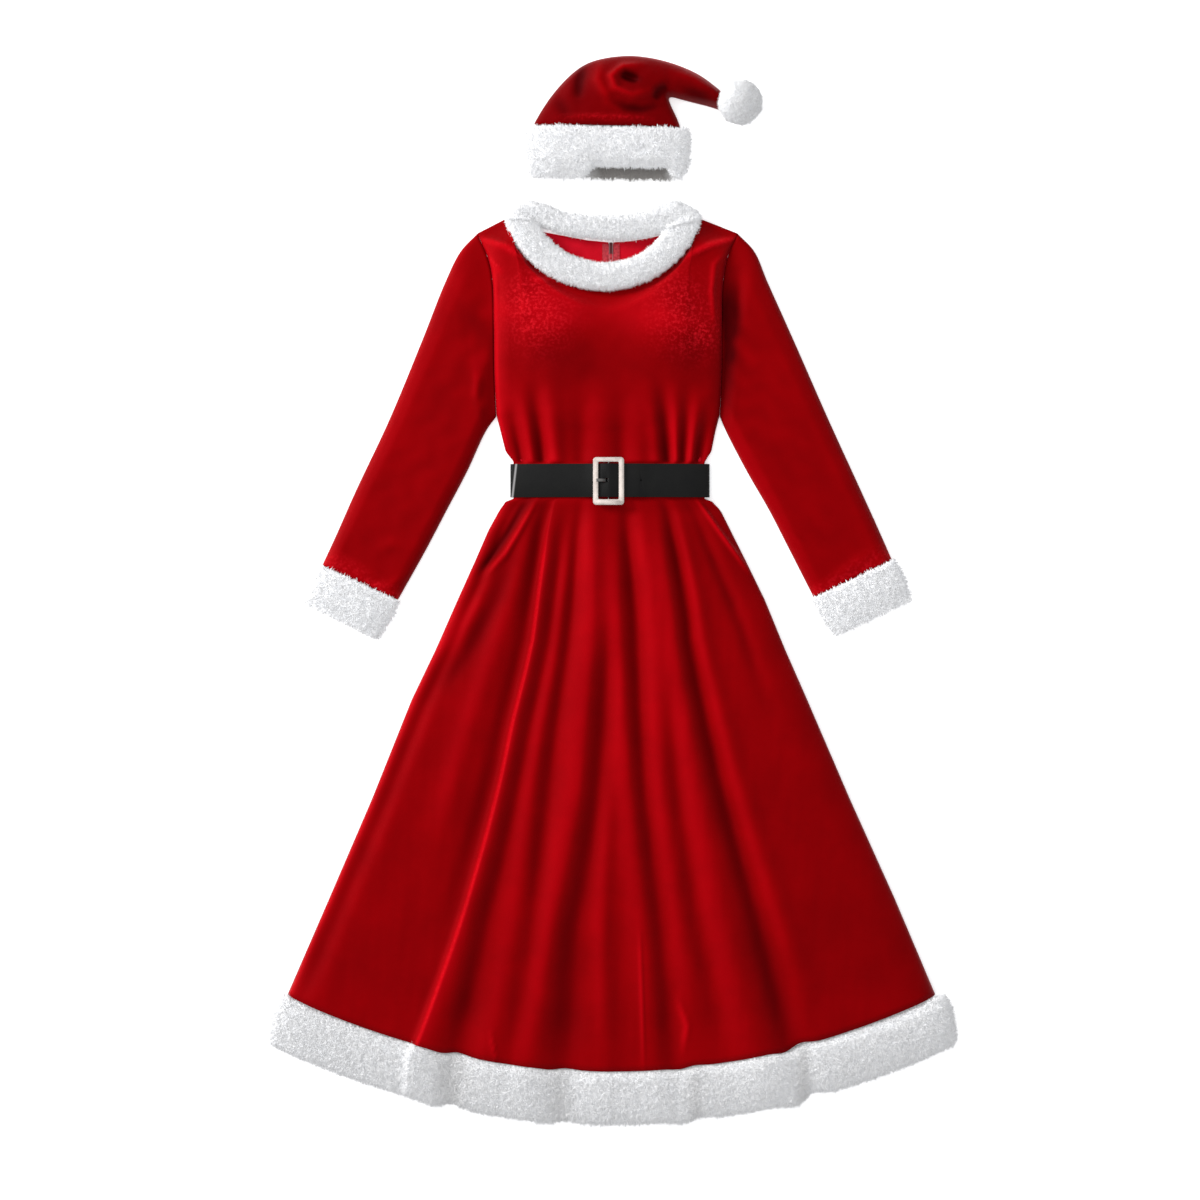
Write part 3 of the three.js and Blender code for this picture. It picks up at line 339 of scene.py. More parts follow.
velvet = velvet_material()
velvet_inside = relief_material(
    "velvet_inside", relief((0.48, 0.004, 0.014), (0.4, 0.003, 0.01), 30.0, 1500.0, 0.0001, 0.8),
    {"Specular IOR Level": 0.2, "Specular Tint": (1.0, 0.1, 0.12, 1)})


PAINTED_FUR_GLOW = 0.15  # how strongly the fur glows in its own colour, a painted light that lightens it
FUR_SHADE = (0.2, 0.185, 0.17, 1)


def fur_material():
    """White fur, greyer and warmer where the attribute shade says so, with a faint painted glow in its own
    colour.
    """
    material = relief_material(
        "white_fur", relief((0.9, 0.9, 0.905), (0.85, 0.855, 0.87), 130.0, 700.0, 0.0003, 0.85),
        {"Specular IOR Level": 0.1, "Sheen Weight": 0.3, "Sheen Roughness": 0.5})
    tree = material.node_tree
    shade = tree.nodes.new("ShaderNodeAttribute")
    shade.attribute_name = "shade"
    base = tree.nodes["Principled BSDF"].inputs["Base Color"]
    white = base.links[0].from_socket
    colour = colour_mix(tree, shade.outputs["Fac"], white, FUR_SHADE)
    tree.links.new(colour, base)
    # The fur glows in its own colour, a painted light
    tree.links.new(colour, tree.nodes["Principled BSDF"].inputs["Emission Color"])
    tree.nodes["Principled BSDF"].inputs["Emission Strength"].default_value = PAINTED_FUR_GLOW
    return material


fur = fur_material()
leather = relief_material(
    "black_leather",
    relief((0.004, 0.004, 0.0036), (0.0026, 0.0026, 0.0026), 40.0, 950.0, 0.00018, 0.45, 0.2),
    {"Specular IOR Level": 0.13})
# Place, slant and half width of the painted highlight where the strap bends, and its colour
BEND_X, BEND_Y, BEND_SLANT, BEND_HALF = -0.1477, 0.165, 0.114, 0.0023
BEND_SHINE = (0.3, 0.29, 0.29, 1)


def shine_on_bend(material):
    """The strap bends round the side there, and a painted highlight lies along a slanted line on the bend."""
    tree = material.node_tree
    parts = tree.nodes.new("ShaderNodeSeparateXYZ")
    tree.links.new(tree.nodes.new("ShaderNodeTexCoord").outputs["Object"], parts.inputs[0])
    line = math_node(tree, "MULTIPLY_ADD", parts.outputs["Y"], -BEND_SLANT, BEND_SLANT * BEND_Y - BEND_X)
    away = math_node(tree, "ABSOLUTE", math_node(tree, "ADD", parts.outputs["X"], line))
    mask = math_node(tree, "MULTIPLY_ADD", away, -1 / BEND_HALF, 1.0, clamp=True)
    base = tree.nodes["Principled BSDF"].inputs["Base Color"]
    tree.links.new(colour_mix(tree, mask, base.links[0].from_socket, BEND_SHINE), base)


shine_on_bend(leather)
silver = relief_material(
    "satin_silver", relief((0.54, 0.48, 0.44), (0.4, 0.35, 0.32), 60.0, 1300.0, 0.00006, 0.28, 0.12),
    {"Metallic": 1.0})
prong_steel = relief_material(
    "prong_steel", relief((0.1, 0.095, 0.09), (0.06, 0.06, 0.06), 90.0, 1300.0, 0.00005, 0.3, 0.12),
    {"Metallic": 1.0})
zip_cloth = relief_material(
    "zip_cloth", relief((0.5, 0.03, 0.045), (0.2, 0.003, 0.008), 420.0, 1600.0, 0.0003, 0.6),
    {"Specular IOR Level": 0.3})
dark_trim = relief_material(
    "dark_trim", relief((0.07, 0.001, 0.003), (0.04, 0.001, 0.002), 200.0, 1500.0, 0.0001, 0.5),
    {"Specular IOR Level": 0.3})
print("materials:", len(bpy.data.materials))

# %% [markdown]
# ## Helpers for cloth
# Every panel is a grid of points with a height for each, so the helpers work on whole
# arrays at once. A panel's height is the sum of a soft loft and of folds, each with its own
# course, height and width. Shapes are worked out in millimetres and written in metres.

# %% Array helpers
CLOTH = 2.0  # velvet wall
SEAM = 0.3


def mix(a, b, t):
    return a + (b - a) * t


def clamp01(t):
    return np.clip(t, 0.0, 1.0)


def ease(a, b, t):
    s = clamp01((np.asarray(t, float) - a) / (b - a))
    return s * s * (3 - 2 * s)


def bump(distance, half):
    return np.exp(-((distance / half) ** 2))


def ridge(distance, half, lean=0.0, sharp=0.0):
    """A fold's section. A negative lean makes its left flank steep, and sharp gives a crisp crest."""
    width = half * np.where(distance < 0, 1 + lean, 1 - lean)
    k = distance / width
    crisp = np.exp(-1.5 * (np.sqrt(k * k + 0.02) - 0.14))
    return mix(np.exp(-k * k), crisp, sharp)


def roll(distance, radius):
    return np.sqrt(np.maximum(0.0, 1 - (1 - clamp01(distance / radius)) ** 2))


def arch(s):
    return np.sqrt(np.maximum(0.0, 4 * s * (1 - s)))


WAVES = 5


def ripple(x, y, size, seed):
    """Slow, uneven waves about one unit high, the same in every run."""
    angles = np.random.default_rng(seed).uniform(0, 2 * math.pi, (WAVES, 3))
    total = np.zeros_like(x)
    for k, (turn, phase, phase2) in enumerate(angles):
        wave = size * (0.6 + 0.25 * k)
        along = (x * math.cos(turn) + y * math.sin(turn)) / wave
        across = (-x * math.sin(turn) + y * math.cos(turn)) / (1.7 * wave)
        total += np.sin(2 * math.pi * along + phase + 1.3 * np.sin(2 * math.pi * across + phase2))
    return total / WAVES


def stroke(x, y, points, half, height=1.0):
    """A crease along a line of points, which fades at both ends."""
    pts = np.array(points, float)
    starts = np.concatenate([[0], np.cumsum(np.linalg.norm(np.diff(pts, axis=0), axis=1))])
    best = np.full(x.shape, np.inf)
    along = np.zeros(x.shape)
    for p, q, start, stop in zip(pts[:-1], pts[1:], starts[:-1], starts[1:]):
        d = q - p
        t = clamp01(((x - p[0]) * d[0] + (y - p[1]) * d[1]) / (d @ d))
        away = np.hypot(x - p[0] - t * d[0], y - p[1] - t * d[1])
        closer = away < best
        best = np.where(closer, away, best)
        along = np.where(closer, start + t * (stop - start), along)
    fade = np.sin(math.pi * np.clip(along / starts[-1], 0.03, 0.97)) ** 0.6
    return height * fade * bump(best, half)


def creases(x, y, table):
    return sum((stroke(x, y, points, half, height) for points, half, height in table), np.zeros_like(x))


def calm(values, times):
    """Averages each inner value with its neighbours, and leaves the border."""
    out = values.copy()
    for _ in range(times):
        inner = out[1:-1, 1:-1]
        near = out[:-2, 1:-1] + out[2:, 1:-1] + out[1:-1, :-2] + out[1:-1, 2:]
        out[1:-1, 1:-1] = 0.5 * inner + 0.125 * near
    return out


print("ripple sample:", ripple(np.array([1.0]), np.array([2.0]), 50, 3))

# %% [markdown]
# ## Lines and patches
# The outline of a panel is a few points on its edges. A smooth curve runs through them,
# and a Coons patch spans the four edges, as cloth spans its seams.

# %% Path helpers


def smooth_path(points, count=400):
    """A smooth curve through points, read by its share of length."""
    pts = np.array(points, float)
    ends = np.vstack([2 * pts[0] - pts[1], pts, 2 * pts[-1] - pts[-2]])
    knots = np.concatenate([[0], np.cumsum(np.linalg.norm(np.diff(ends, axis=0), axis=1) ** 0.5)])
    fine = []
    for i in range(1, len(ends) - 2):
        t0, t1, t2, t3 = knots[i - 1 : i + 3]
        t = np.linspace(t1, t2, max(8, count // len(pts)), endpoint=False)[:, None]
        a1 = (t1 - t) / (t1 - t0) * ends[i - 1] + (t - t0) / (t1 - t0) * ends[i]
        a2 = (t2 - t) / (t2 - t1) * ends[i] + (t - t1) / (t2 - t1) * ends[i + 1]
        a3 = (t3 - t) / (t3 - t2) * ends[i + 1] + (t - t2) / (t3 - t2) * ends[i + 2]
        b1 = (t2 - t) / (t2 - t0) * a1 + (t - t0) / (t2 - t0) * a2
        b2 = (t3 - t) / (t3 - t1) * a2 + (t - t1) / (t3 - t1) * a3
        fine.append((t2 - t) / (t2 - t1) * b1 + (t - t1) / (t2 - t1) * b2)
    fine = np.vstack([*fine, pts[-1:]])
    length = np.concatenate([[0], np.cumsum(np.linalg.norm(np.diff(fine, axis=0), axis=1))])
    length /= length[-1]
    return lambda t: np.stack([np.interp(clamp01(t), length, fine[:, k]) for k in range(fine.shape[1])], -1)


def line_path(start, stop):
    a, b = np.array(start, float), np.array(stop, float)
    return lambda t: a + (b - a) * np.asarray(t, float)[..., None]


def joined(first, share, second):
    def path(t):
        t = np.asarray(t, float)
        near = first(clamp01(t / share))
        far = second(clamp01((t - share) / (1 - share)))
        return np.where((t <= share)[..., None], near, far)

    return path


def patch(top, bottom, left, right, u, v):
    """Points of the surface between four edges, at shares u and v."""
    u1, v1 = u[..., None], v[..., None]
    ends = np.array([0.0, 1.0])
    (tl, tr), (bl, br) = top(ends), bottom(ends)
    across = mix(top(u), bottom(u), v1) + mix(left(v), right(v), u1)
    return across - mix(mix(tl, tr, u1), mix(bl, br, u1), v1)


def even_rows(points, share):
    """Spreads the points of each row evenly along it, as far as share asks for that row."""
    out = points.copy()
    for i, row in enumerate(points):
        length = np.concatenate([[0], np.cumsum(np.linalg.norm(np.diff(row[:, :2], axis=0), axis=1))])
        wanted = mix(length, np.linspace(0, length[-1], len(length)), share[i])
        out[i] = np.stack([np.interp(wanted, length, row[:, k]) for k in range(3)], -1)
    return out


print("path sample:", smooth_path([(0, 0), (1, 1), (2, 0)])(np.array([0.5])))

# %% [markdown]
# ## Turning grids into shells
# A grid of top points becomes a mesh, and a Solidify modifier gives it the wall of the real
# cloth, inwards, so that the outer face stays where the model has it. The modifier is
# applied at once, which leaves one closed plain mesh.

# %% Mesh helpers


def mesh_object(name, points, faces, material, attributes=None):
    """Makes an object from points in millimetres, with a float attribute for each array given."""
    mesh = bpy.data.meshes.new(name)
    mesh.from_pydata((points.reshape(-1, 3) * MM).tolist(), [], faces)
    mesh.materials.append(material)
    mesh.polygons.foreach_set("use_smooth", [True] * len(mesh.polygons))
    for title, values in (attributes or {}).items():
        layer = mesh.attributes.new(title, "FLOAT", "POINT")
        layer.data.foreach_set("value", clamp01(values).ravel().astype(np.float32))
    return place(bpy.data.objects.new(name, mesh))


def bake(thing):
    """Turns the evaluated object into a plain mesh and removes its modifiers."""
    graph = bpy.context.evaluated_depsgraph_get()
    final = bpy.data.meshes.new_from_object(thing.evaluated_get(graph), depsgraph=graph)
    thing.modifiers.clear()
    old = thing.data
    thing.data = final
    bpy.data.meshes.remove(old)
    return thing


def solidify(thing, wall_mm=CLOTH):
    modifier = thing.modifiers.new("wall", "SOLIDIFY")
    modifier.thickness = wall_mm * MM
    modifier.offset = -1.0
    return bake(thing)


def grid_faces(rows, columns, wrap=False):
    faces = []
    for i in range(rows - 1):
        for j in range(columns if wrap else columns - 1):
            a, b = i * columns + j, i * columns + (j + 1) % columns
            faces.append((b, a, a + columns, b + columns))
    return faces


# How strongly a slope and a millimetre of crest change the painted shading, and how far a crest reaches
SLOPE_LIGHT, SLOPE_GAIN, CREST_LIGHT, CREST_REACH = 0.3, 1.3, 0.04, 60


def velvet_look(x, z, light=0.0, shine=0.0, power=1.0):
    """Painted light and shade of a panel: lighter on crests and on slopes that face the light on the left,
    darker in troughs.
    """
    step = np.gradient(x, axis=1)
    slope = np.gradient(z, axis=1) * np.sign(step) / np.maximum(np.abs(step), 0.05)
    crest = z - calm(z, CREST_REACH)
    nap = 0.5 + power * (SLOPE_LIGHT * np.tanh(SLOPE_GAIN * slope) + CREST_LIGHT * crest)
    return {"nap": nap + light, "shine": shine + 0 * z}


def cloth_panel(name, x, y, z, material, look=None):
    """A panel from arrays whose rows run towards the hem and whose columns run to +X."""
    thing = mesh_object(name, np.stack([x, y, z], -1), grid_faces(*x.shape), material, look)
    return solidify(thing)


total_triangles = 0


def finish_piece(thing, slot, *nodes):
    global total_triangles
    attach(thing, "root")
    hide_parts(*nodes)
    triangles = sum(len(p.vertices) - 2 for p in thing.data.polygons)
    total_triangles += triangles
    area = sum(p.area for p in thing.data.polygons)
    print(f"{thing.name}: {triangles} triangles, half its surface {area / 2:.4f} m2")


# %% [markdown]
# ## The skirt
# The real front skirt is one flared panel, gathered a little at the waist, so its folds run
# like rays from the belt to the hem. The map below bends a plain grid into that fan. Each
# row of the fold table is one crest or trough, with its share of the width at five levels
# from the waist to the hem.

# %% Outline of the dress
BELT_TOP, BELT_BOTTOM = 191.0, 141.0
ABOVE_BELT, BELOW_BELT, WAIST_SEAM = 207.0, 134.0, 166.0
HEM_SEAM, HEM_SAG = -607.0, 113.0
BACK_LIFT, WAIST_LOFT, ARM_LIFT = 2.7, 9.0, 7.0
BACK_REACH = 12.0  # the back rises onto the belt over this length
SIDE_LIFT = CLOTH + SEAM

# height, left edge and right edge of the dress
SIDES = np.array([
    (265, -174.75, 161.5), (241.5, -168.75, 155.25), (211.5, -161.25, 149.25), (207, -158.5, 147),
    (195, -148.9, 138.7), (139, -148.9, 138.7), (134, -161, 150.5), (121.5, -170.25, 162.75),
    (91.5, -186.75, 177.75), (46.5, -206.25, 200.25), (-13.5, -233.25, 229.5), (-88.5, -266.25, 260.25),
    (-163.5, -302.25, 293.25), (-313.5, -362.25, 357.75), (-463.5, -426.75, 425.25), (-607, -489, 486),
])[::-1]


def left_x(y):
    return np.interp(y, SIDES[:, 0], SIDES[:, 1])


def right_x(y):
    return np.interp(y, SIDES[:, 0], SIDES[:, 2])


def back_lift(y):
    return BACK_LIFT * clamp01((ABOVE_BELT - y) / BACK_REACH) * ease(122, 137, y)


def waist_shape(share):
    return WAIST_LOFT * (1 - np.abs(2 * share - 1) ** 3)


print("waist width:", right_x(160) - left_x(160), "hem width:", right_x(HEM_SEAM) - left_x(HEM_SEAM))

# %% Folds of the skirt
# course, height, half width, first and last share of the length, lean, sharp
SKIRT_FOLDS = [
    ((0.060, 0.040, 0.030, 0.024, 0.020), -4.5, 12, 0.00, 1.10, 0.0, 0.0),
    ((0.170, 0.165, 0.150, 0.140, 0.140), 5.0, 22, 0.00, 0.70, 0.0, 0.0),
    ((0.205, 0.236, 0.230, 0.208, 0.180), -6.0, 15, 0.00, 0.80, 0.0, 0.0),
    ((0.240, 0.267, 0.254, 0.231, 0.203), 11.0, 19, 0.02, 1.15, -0.68, 0.15),
    ((0.300, 0.309, 0.291, 0.271, 0.262), -8.0, 17, 0.05, 1.10, 0.0, 0.0),
    ((0.335, 0.331, 0.321, 0.323, 0.309), 5.0, 18, 0.05, 1.10, 0.0, 0.0),
    ((0.368, 0.372, 0.361, 0.357, 0.345), -5.0, 15, 0.00, 1.05, 0.0, 0.0),
    ((0.420, 0.443, 0.428, 0.387, 0.364), 10.0, 27, 0.00, 1.10, 0.1, 0.0),
    ((0.500, 0.500, 0.500, 0.500, 0.500), 4.0, 34, 0.00, 0.28, 0.0, 0.0),
    ((0.500, 0.492, 0.474, 0.430, 0.430), -8.0, 21, 0.22, 1.10, 0.0, 0.0),
    ((0.500, 0.500, 0.492, 0.481, 0.491), 5.0, 14, 0.45, 1.05, 0.0, 0.0),
    ((0.515, 0.522, 0.543, 0.560, 0.573), 8.0, 24, 0.10, 1.05, 0.1, 0.0),
    ((0.573, 0.577, 0.577, 0.590, 0.592), -7.0, 16, 0.00, 1.10, 0.0, 0.0),
    ((0.637, 0.632, 0.615, 0.624, 0.632), 6.0, 21, 0.00, 1.00, 0.0, 0.0),
    ((0.680, 0.670, 0.653, 0.660, 0.680), -4.0, 14, 0.35, 1.00, 0.0, 0.0),
    ((0.700, 0.690, 0.694, 0.700, 0.718), 9.0, 27, 0.03, 1.10, 0.1, 0.0),
    ((0.768, 0.738, 0.750, 0.768, 0.779), -10.0, 16, 0.00, 1.10, 0.0, 0.0),
    ((0.802, 0.777, 0.787, 0.803, 0.815), 5.0, 18, 0.00, 0.95, 0.0, 0.0),
    ((0.880, 0.905, 0.900, 0.900, 0.900), -4.0, 14, 0.00, 0.42, 0.0, 0.0),
]
LEVELS = np.linspace(0, 1, 5)
FOLD_WIDTH = (310, 975)  # the width that the folds are shared over, at the waist and the hem
SHARP_FOLD = 3  # the row of the table with the crisp bright crest
TROUGH_SHADE = 0.015  # painted shade in the troughs and painted light on the crests, for each millimetre of fold
# Small creases as lines of X and Y, with half width and height
SKIRT_CREASES = [
    ([(126, 140), (155, 98), (188, 53), (205, 30)], 3.5, 5.0),
    ([(-113, 138), (-140, 90), (-161, 55), (-191, 25)], 5.0, 5.0),
    ([(-128, 138), (-155, 90), (-177, 55), (-203, 25)], 6.0, -4.0),
    ([(-150, 42), (-180, -25), (-221, -100), (-268, -160)], 15.0, -3.6),
    ([(-192, 0), (-229, -55), (-262, -104)], 13.0, 2.6),
    ([(-184, -661), (-173, -704)], 2.6, 2.2),
    ([(41, -513), (44, -610), (47, -716)], 2.8, 2.2),
    ([(98, -616), (112, -651), (105, -690)], 5.0, 3.0),
]
# Share of the hem where cloth goes behind a fold, and how far its edge steps there
HEM_STEPS = [(0.252, 2.5), (0.417, 1.5), (0.616, 2.0), (0.779, 4.0)]
STEP_WIDTH = 20.0
STEP_GAIN = 2.33  # brings the peak of k * exp(-k * k) to 1
SKIRT_AIR = (9, 14)  # under the panel near the belt and lower down
SKIRT_ROUNDING, FOLD_ROUNDING, HEM_ROUNDING = 42, 24, 30
HEM_LOFT = 6.2  # what the fur adds to the air at the hem


def fold_width(t):
    return mix(*FOLD_WIDTH, t)


def hem_kink(share):
    total = np.zeros_like(share)
    for centre, rise in HEM_STEPS:
        k = (share - centre) * FOLD_WIDTH[1] / STEP_WIDTH
        total = total + STEP_GAIN * rise * k * np.exp(-k * k)
    return total


def skirt_point(share, level):
    t = clamp01((BELOW_BELT - level) / (BELOW_BELT - HEM_SEAM))
    x = mix(left_x(level), right_x(level), share)
    return x, level - HEM_SAG * t * (1 - (2 * share - 1) ** 2) + hem_kink(share) * ease(0.6, 1, t), t


def fold_sum(folds, share, t):
    width = fold_width(t)
    height = np.zeros_like(share)
    for course, high, half, start, stop, lean, sharp in folds:
        crest = np.interp(t, LEVELS, course)
        alive = ease(start - 0.06, start + 0.12, t) * ease(stop + 0.05, stop - 0.2, t)
        distance = (share - crest) * width
        height = height + high * alive * ridge(distance, half * mix(0.6, 1.25, t), lean, sharp)
    return height


def edge_distance(share, level):
    return np.minimum(share, 1 - share) * (right_x(level) - left_x(level))


def skirt_lift(share, level):
    _, _, t = skirt_point(share, level)
    edge = edge_distance(share, level)
    body = mix(*SKIRT_AIR, ease(0, 0.4, t)) * roll(edge, SKIRT_ROUNDING)
    loft = mix(waist_shape(share), np.maximum(body, 0.2 + 2 * roll(edge, 20)), ease(0, 0.035, t))
    folds = fold_sum(SKIRT_FOLDS, share, t) * roll(edge, FOLD_ROUNDING)
    folds = folds * ease(BELT_BOTTOM, BELT_BOTTOM - 9, level)
    return np.maximum(loft + folds, SEAM) + HEM_LOFT * roll(edge, HEM_ROUNDING) * ease(0.9, 1, t)


print("fold rows:", len(SKIRT_FOLDS), "creases:", len(SKIRT_CREASES))

# %% Skirt panels
SKIRT_COLUMNS, SKIRT_ROWS = 380, 94


def skirt_levels(count):
    flared = mix(BELOW_BELT, HEM_SEAM, np.linspace(0, 1, count) ** 1.12)
    return np.concatenate([[WAIST_SEAM - SEAM / 2, 155, 146, 142, 139, 136.5], flared])


def skirt_front():
    share, level = np.meshgrid(np.linspace(0, 1, SKIRT_COLUMNS), skirt_levels(SKIRT_ROWS))
    x, y, t = skirt_point(share, level)
    inner = roll(edge_distance(share, level), 60) * ease(0.01, 0.12, t)
    uneven = 0.9 * ripple(x, y * 0.6, 110, 5) + 0.3 * ripple(x * 2.2, y * 0.5, 70, 9)
    lift = skirt_lift(share, level) + inner * uneven + creases(x, y, SKIRT_CREASES)
    z = SIDE_LIFT + back_lift(level) + lift + CLOTH
    # Painted light and shade: lines lightens the raised creases and darkens the sunk ones, crisp is a painted
    # highlight along the sharp crest, also as flecks, and rim a painted highlight along the left edge.
    lines = creases(x, y, [(points, half, 0.07 * high) for points, half, high in SKIRT_CREASES])
    course = np.interp(t, LEVELS, SKIRT_FOLDS[SHARP_FOLD][0])
    crisp = bump((share - course) * fold_width(t) + 2.5, 2.0) * ease(0.05, 0.16, t)
    rim = 0.25 * bump(share * fold_width(t) - 3, 3)
    # below_belt is a painted shade under the belt on the left, far a painted shade towards the hem and the
    # right side, and depth painted shade in the troughs and painted light on the crests.
    below_belt = 0.2 * ease(0.3, 0, t) * bump(share - 0.12, 0.09)
    far = -0.07 * ease(0.2, 1, t) - 0.06 * ease(0.72, 0.9, share)
    depth = TROUGH_SHADE * fold_sum(SKIRT_FOLDS, share, t)
    light = lines + depth + rim - below_belt + 0.4 * crisp + far
    look = velvet_look(x, z, light, shine=0.3 * crisp, power=0.6)
    return cloth_panel("front_skirt", x, y, z, velvet, look)


def skirt_back():
    share, level = np.meshgrid(np.linspace(0, 1, 60), skirt_levels(30))
    x, y, _ = skirt_point(share, level)
    z = back_lift(level) + CLOTH
    return cloth_panel("back_skirt", x, y, z, velvet, velvet_look(x, z))


front_skirt = skirt_front()
back_skirt = skirt_back()
finish_piece(front_skirt, "velvet", "skirt_front")
finish_piece(back_skirt, "velvet", "skirt_back")

# %% [markdown]
# ## The bodice
# The front is one piece between the neck seam, the shoulders, the armholes and the waist.
# It fits a figure, so it has a soft fullness at the bust and small gathers that rise from
# the belt. The back is two pieces, parted by the zip.

# %% Bodice edges
NECK_X, NECK_Y, NECK_HALF, NECK_DEPTH, NECK_POWER = -14, 560, 146, 107, 1.3

ARMHOLES = {
    "left": smooth_path([
        (-203.25, 538.5), (-186, 497), (-180, 460), (-178.5, 400), (-177.5, 320), (-174.75, 265)]),
    "right": smooth_path([
        (188.25, 538.5), (173, 502), (166, 460), (164.5, 400), (164, 320), (161.5, 265)]),
}


def with_height(points, z):
    return np.concatenate([points, np.broadcast_to(np.asarray(z, float), points.shape[:-1])[..., None]], -1)


def flank(side):
    edge = left_x if side == "left" else right_x

    def arm(t):
        return with_height(ARMHOLES[side](t), SIDE_LIFT + ARM_LIFT * np.sin(math.pi * t))

    def below(t):
        y = mix(265, ABOVE_BELT, t)
        return np.stack([edge(y), y, SIDE_LIFT + back_lift(y)], -1)

    return joined(arm, 0.75, below)


def neck_line(u):
    angle = math.pi * (1 - u)
    rise = np.maximum(np.sin(angle), 0) ** NECK_POWER
    x = NECK_X + (NECK_HALF + 0.7) * np.cos(angle)
    return np.stack([x, NECK_Y - (NECK_DEPTH + 0.6) * rise, np.full_like(x, 7.0)], -1)


print("armhole middle:", ARMHOLES["left"](np.array([0.5])))

# %% Folds of the bodice
# X at the belt, X where it fades, Y where it fades, height, half width
BODICE_FOLDS = [
    (-136, -162, 310, -4.5, 5.5),
    (-120, -142, 330, 4.0, 7),
    (-104, -124, 345, -7.0, 8),
    (-84, -100, 350, 5.0, 11),
    (-47, -42, 350, -3.0, 11),
    (-14, -18, 370, 3.0, 18),
    (14, 12, 320, -2.0, 9),
    (40, 44, 350, 3.0, 15),
    (66, 56, 340, 4.0, 10),
    (84, 71, 345, -7.0, 8),
    (96, 92, 335, 4.5, 6),
    (107, 116, 330, -5.0, 6),
    (118, 131, 315, 4.5, 6),
    (130, 149, 300, -4.5, 6),
]
BODICE_CREASES = [
    ([(-203, 533), (-161, 518), (-108, 488)], 4.5, 4.0),
    ([(-120, 465), (-86, 470)], 4.0, 2.5),
    ([(188, 532), (150, 520), (106, 500)], 4.5, 4.0),
    ([(-188, 500), (-167, 480)], 4.0, 3.0),
    ([(-180, 480), (-176, 455), (-177, 400)], 3.5, 3.0),
    ([(168, 506), (154, 489), (150, 449), (154, 400)], 4.0, 3.5),
    ([(-178, 440), (-140, 418), (-96, 424)], 14.0, 2.5),
    ([(60, 420), (110, 408), (150, 390)], 14.0, 2.5),
]
BUSTS = [(-88, 392), (74, 388)]  # X and Y of the middle of each
BUST_RADIUS, BUST_SQUASH = 62, 0.8
BODICE_AIR, BUST_AIR = 10, 8
# X, Y, radius and power of each spot of painted highlight flecks
SHINE_SPOTS = [
    (-112, 414, 44, 0.75), (-128, 452, 26, 0.45), (106, 404, 44, 0.6), (92, 448, 34, 0.4),
    (140, 380, 22, 0.3),
]


def bodice_gathers(x, y, sideways):
    total = np.zeros_like(x)
    for belt, fade, top_y, high, half in BODICE_FOLDS:
        t = clamp01((y - BELT_TOP) / (top_y - BELT_TOP))
        total += high * ridge(x - mix(belt, fade, t ** 1.2), half + 7 * t) * ease(1, 0.2, t)
    return total * ease(BELT_TOP - 1, BELT_TOP + 6, y) * roll(sideways, 12)


def bodice_front():
    shares = np.linspace(0, 1, 136)
    v_steps = np.linspace(0, 1, 84)
    u, v = np.meshgrid(shares, v_steps)
    left_shoulder = line_path((-203.25, 538.5, SIDE_LIFT), (-160.7, 560, 5))
    right_shoulder = line_path((132.7, 560, 5), (188.25, 538.5, SIDE_LIFT))
    top = joined(left_shoulder, 1 / 7, joined(neck_line, 5 / 6, right_shoulder))

    def straight(share, y):
        x = mix(left_x(y), right_x(y), share)
        return np.stack([x, np.full_like(x, y), SIDE_LIFT + back_lift(y) + waist_shape(share)], -1)

    grid = patch(top, lambda share: straight(share, ABOVE_BELT), flank("left"), flank("right"), u, v)
    grid = even_rows(grid, ease(0.01, 0.14, v_steps))
    belt_rows = [straight(shares, y) for y in (204, 201, 198, 195.5, 193, 190.5, 186, WAIST_SEAM + SEAM / 2)]
    grid = np.concatenate([grid, np.stack(belt_rows)])
    x, y, z = np.moveaxis(grid, -1, 0)
    z = calm(z, 30)
    sideways = np.minimum(x - x[:, :1], x[:, -1:] - x)
    inside = roll(sideways, 24) * ease(2, 34, y[:1] - y) * ease(ABOVE_BELT, ABOVE_BELT + 70, y)
    round_bust = sum(bump(np.hypot(x - cx, (y - cy) * BUST_SQUASH), BUST_RADIUS) for cx, cy in BUSTS)
    z = z + (BODICE_AIR + BUST_AIR * round_bust) * inside + bodice_gathers(x, y, sideways)
    folds = creases(x, y, BODICE_CREASES) * ease(0, 14, y[:1] - y)
    z = z + folds + 0.5 * inside * ripple(x, y, 60, 21) + CLOTH
    # Painted highlights: flecks round the bust, bright lines along the first four creases and a rim along the
    # left edge. The upper bust gets painted light, and a band below the bust painted shade.
    shine = sum(power * bump(np.hypot(x - cx, y - cy), radius) for cx, cy, radius, power in SHINE_SPOTS)
    lines = creases(x, y, [(points, half, 1.0) for points, half, _ in BODICE_CREASES[:4]])
    rim = 0.4 * bump(x - x[:, :1] - 3.5, 2.6) * ease(500, 470, y) * ease(BELT_TOP, 230, y)
    light = rim + 0.32 * round_bust * ease(370, 420, y) - 0.14 * bump(y - 345, 34) * inside
    look = velvet_look(x, z, light + 0.45 * lines, shine + 0.4 * lines)
    return cloth_panel("front_bodice", x, y, z, velvet, look)


front_bodice = bodice_front()
finish_piece(front_bodice, "velvet", "bodice_front")

# %% [markdown]
# ## Sleeves, cuffs and hat as flat tubes
# A sleeve, a cuff, the brim and the cap are all tubes pressed flat. One helper makes them
# from a plan, which gives the place of each share across and along, and from the height of
# the upper layer. The wall comes from Solidify, and both ends stay open.

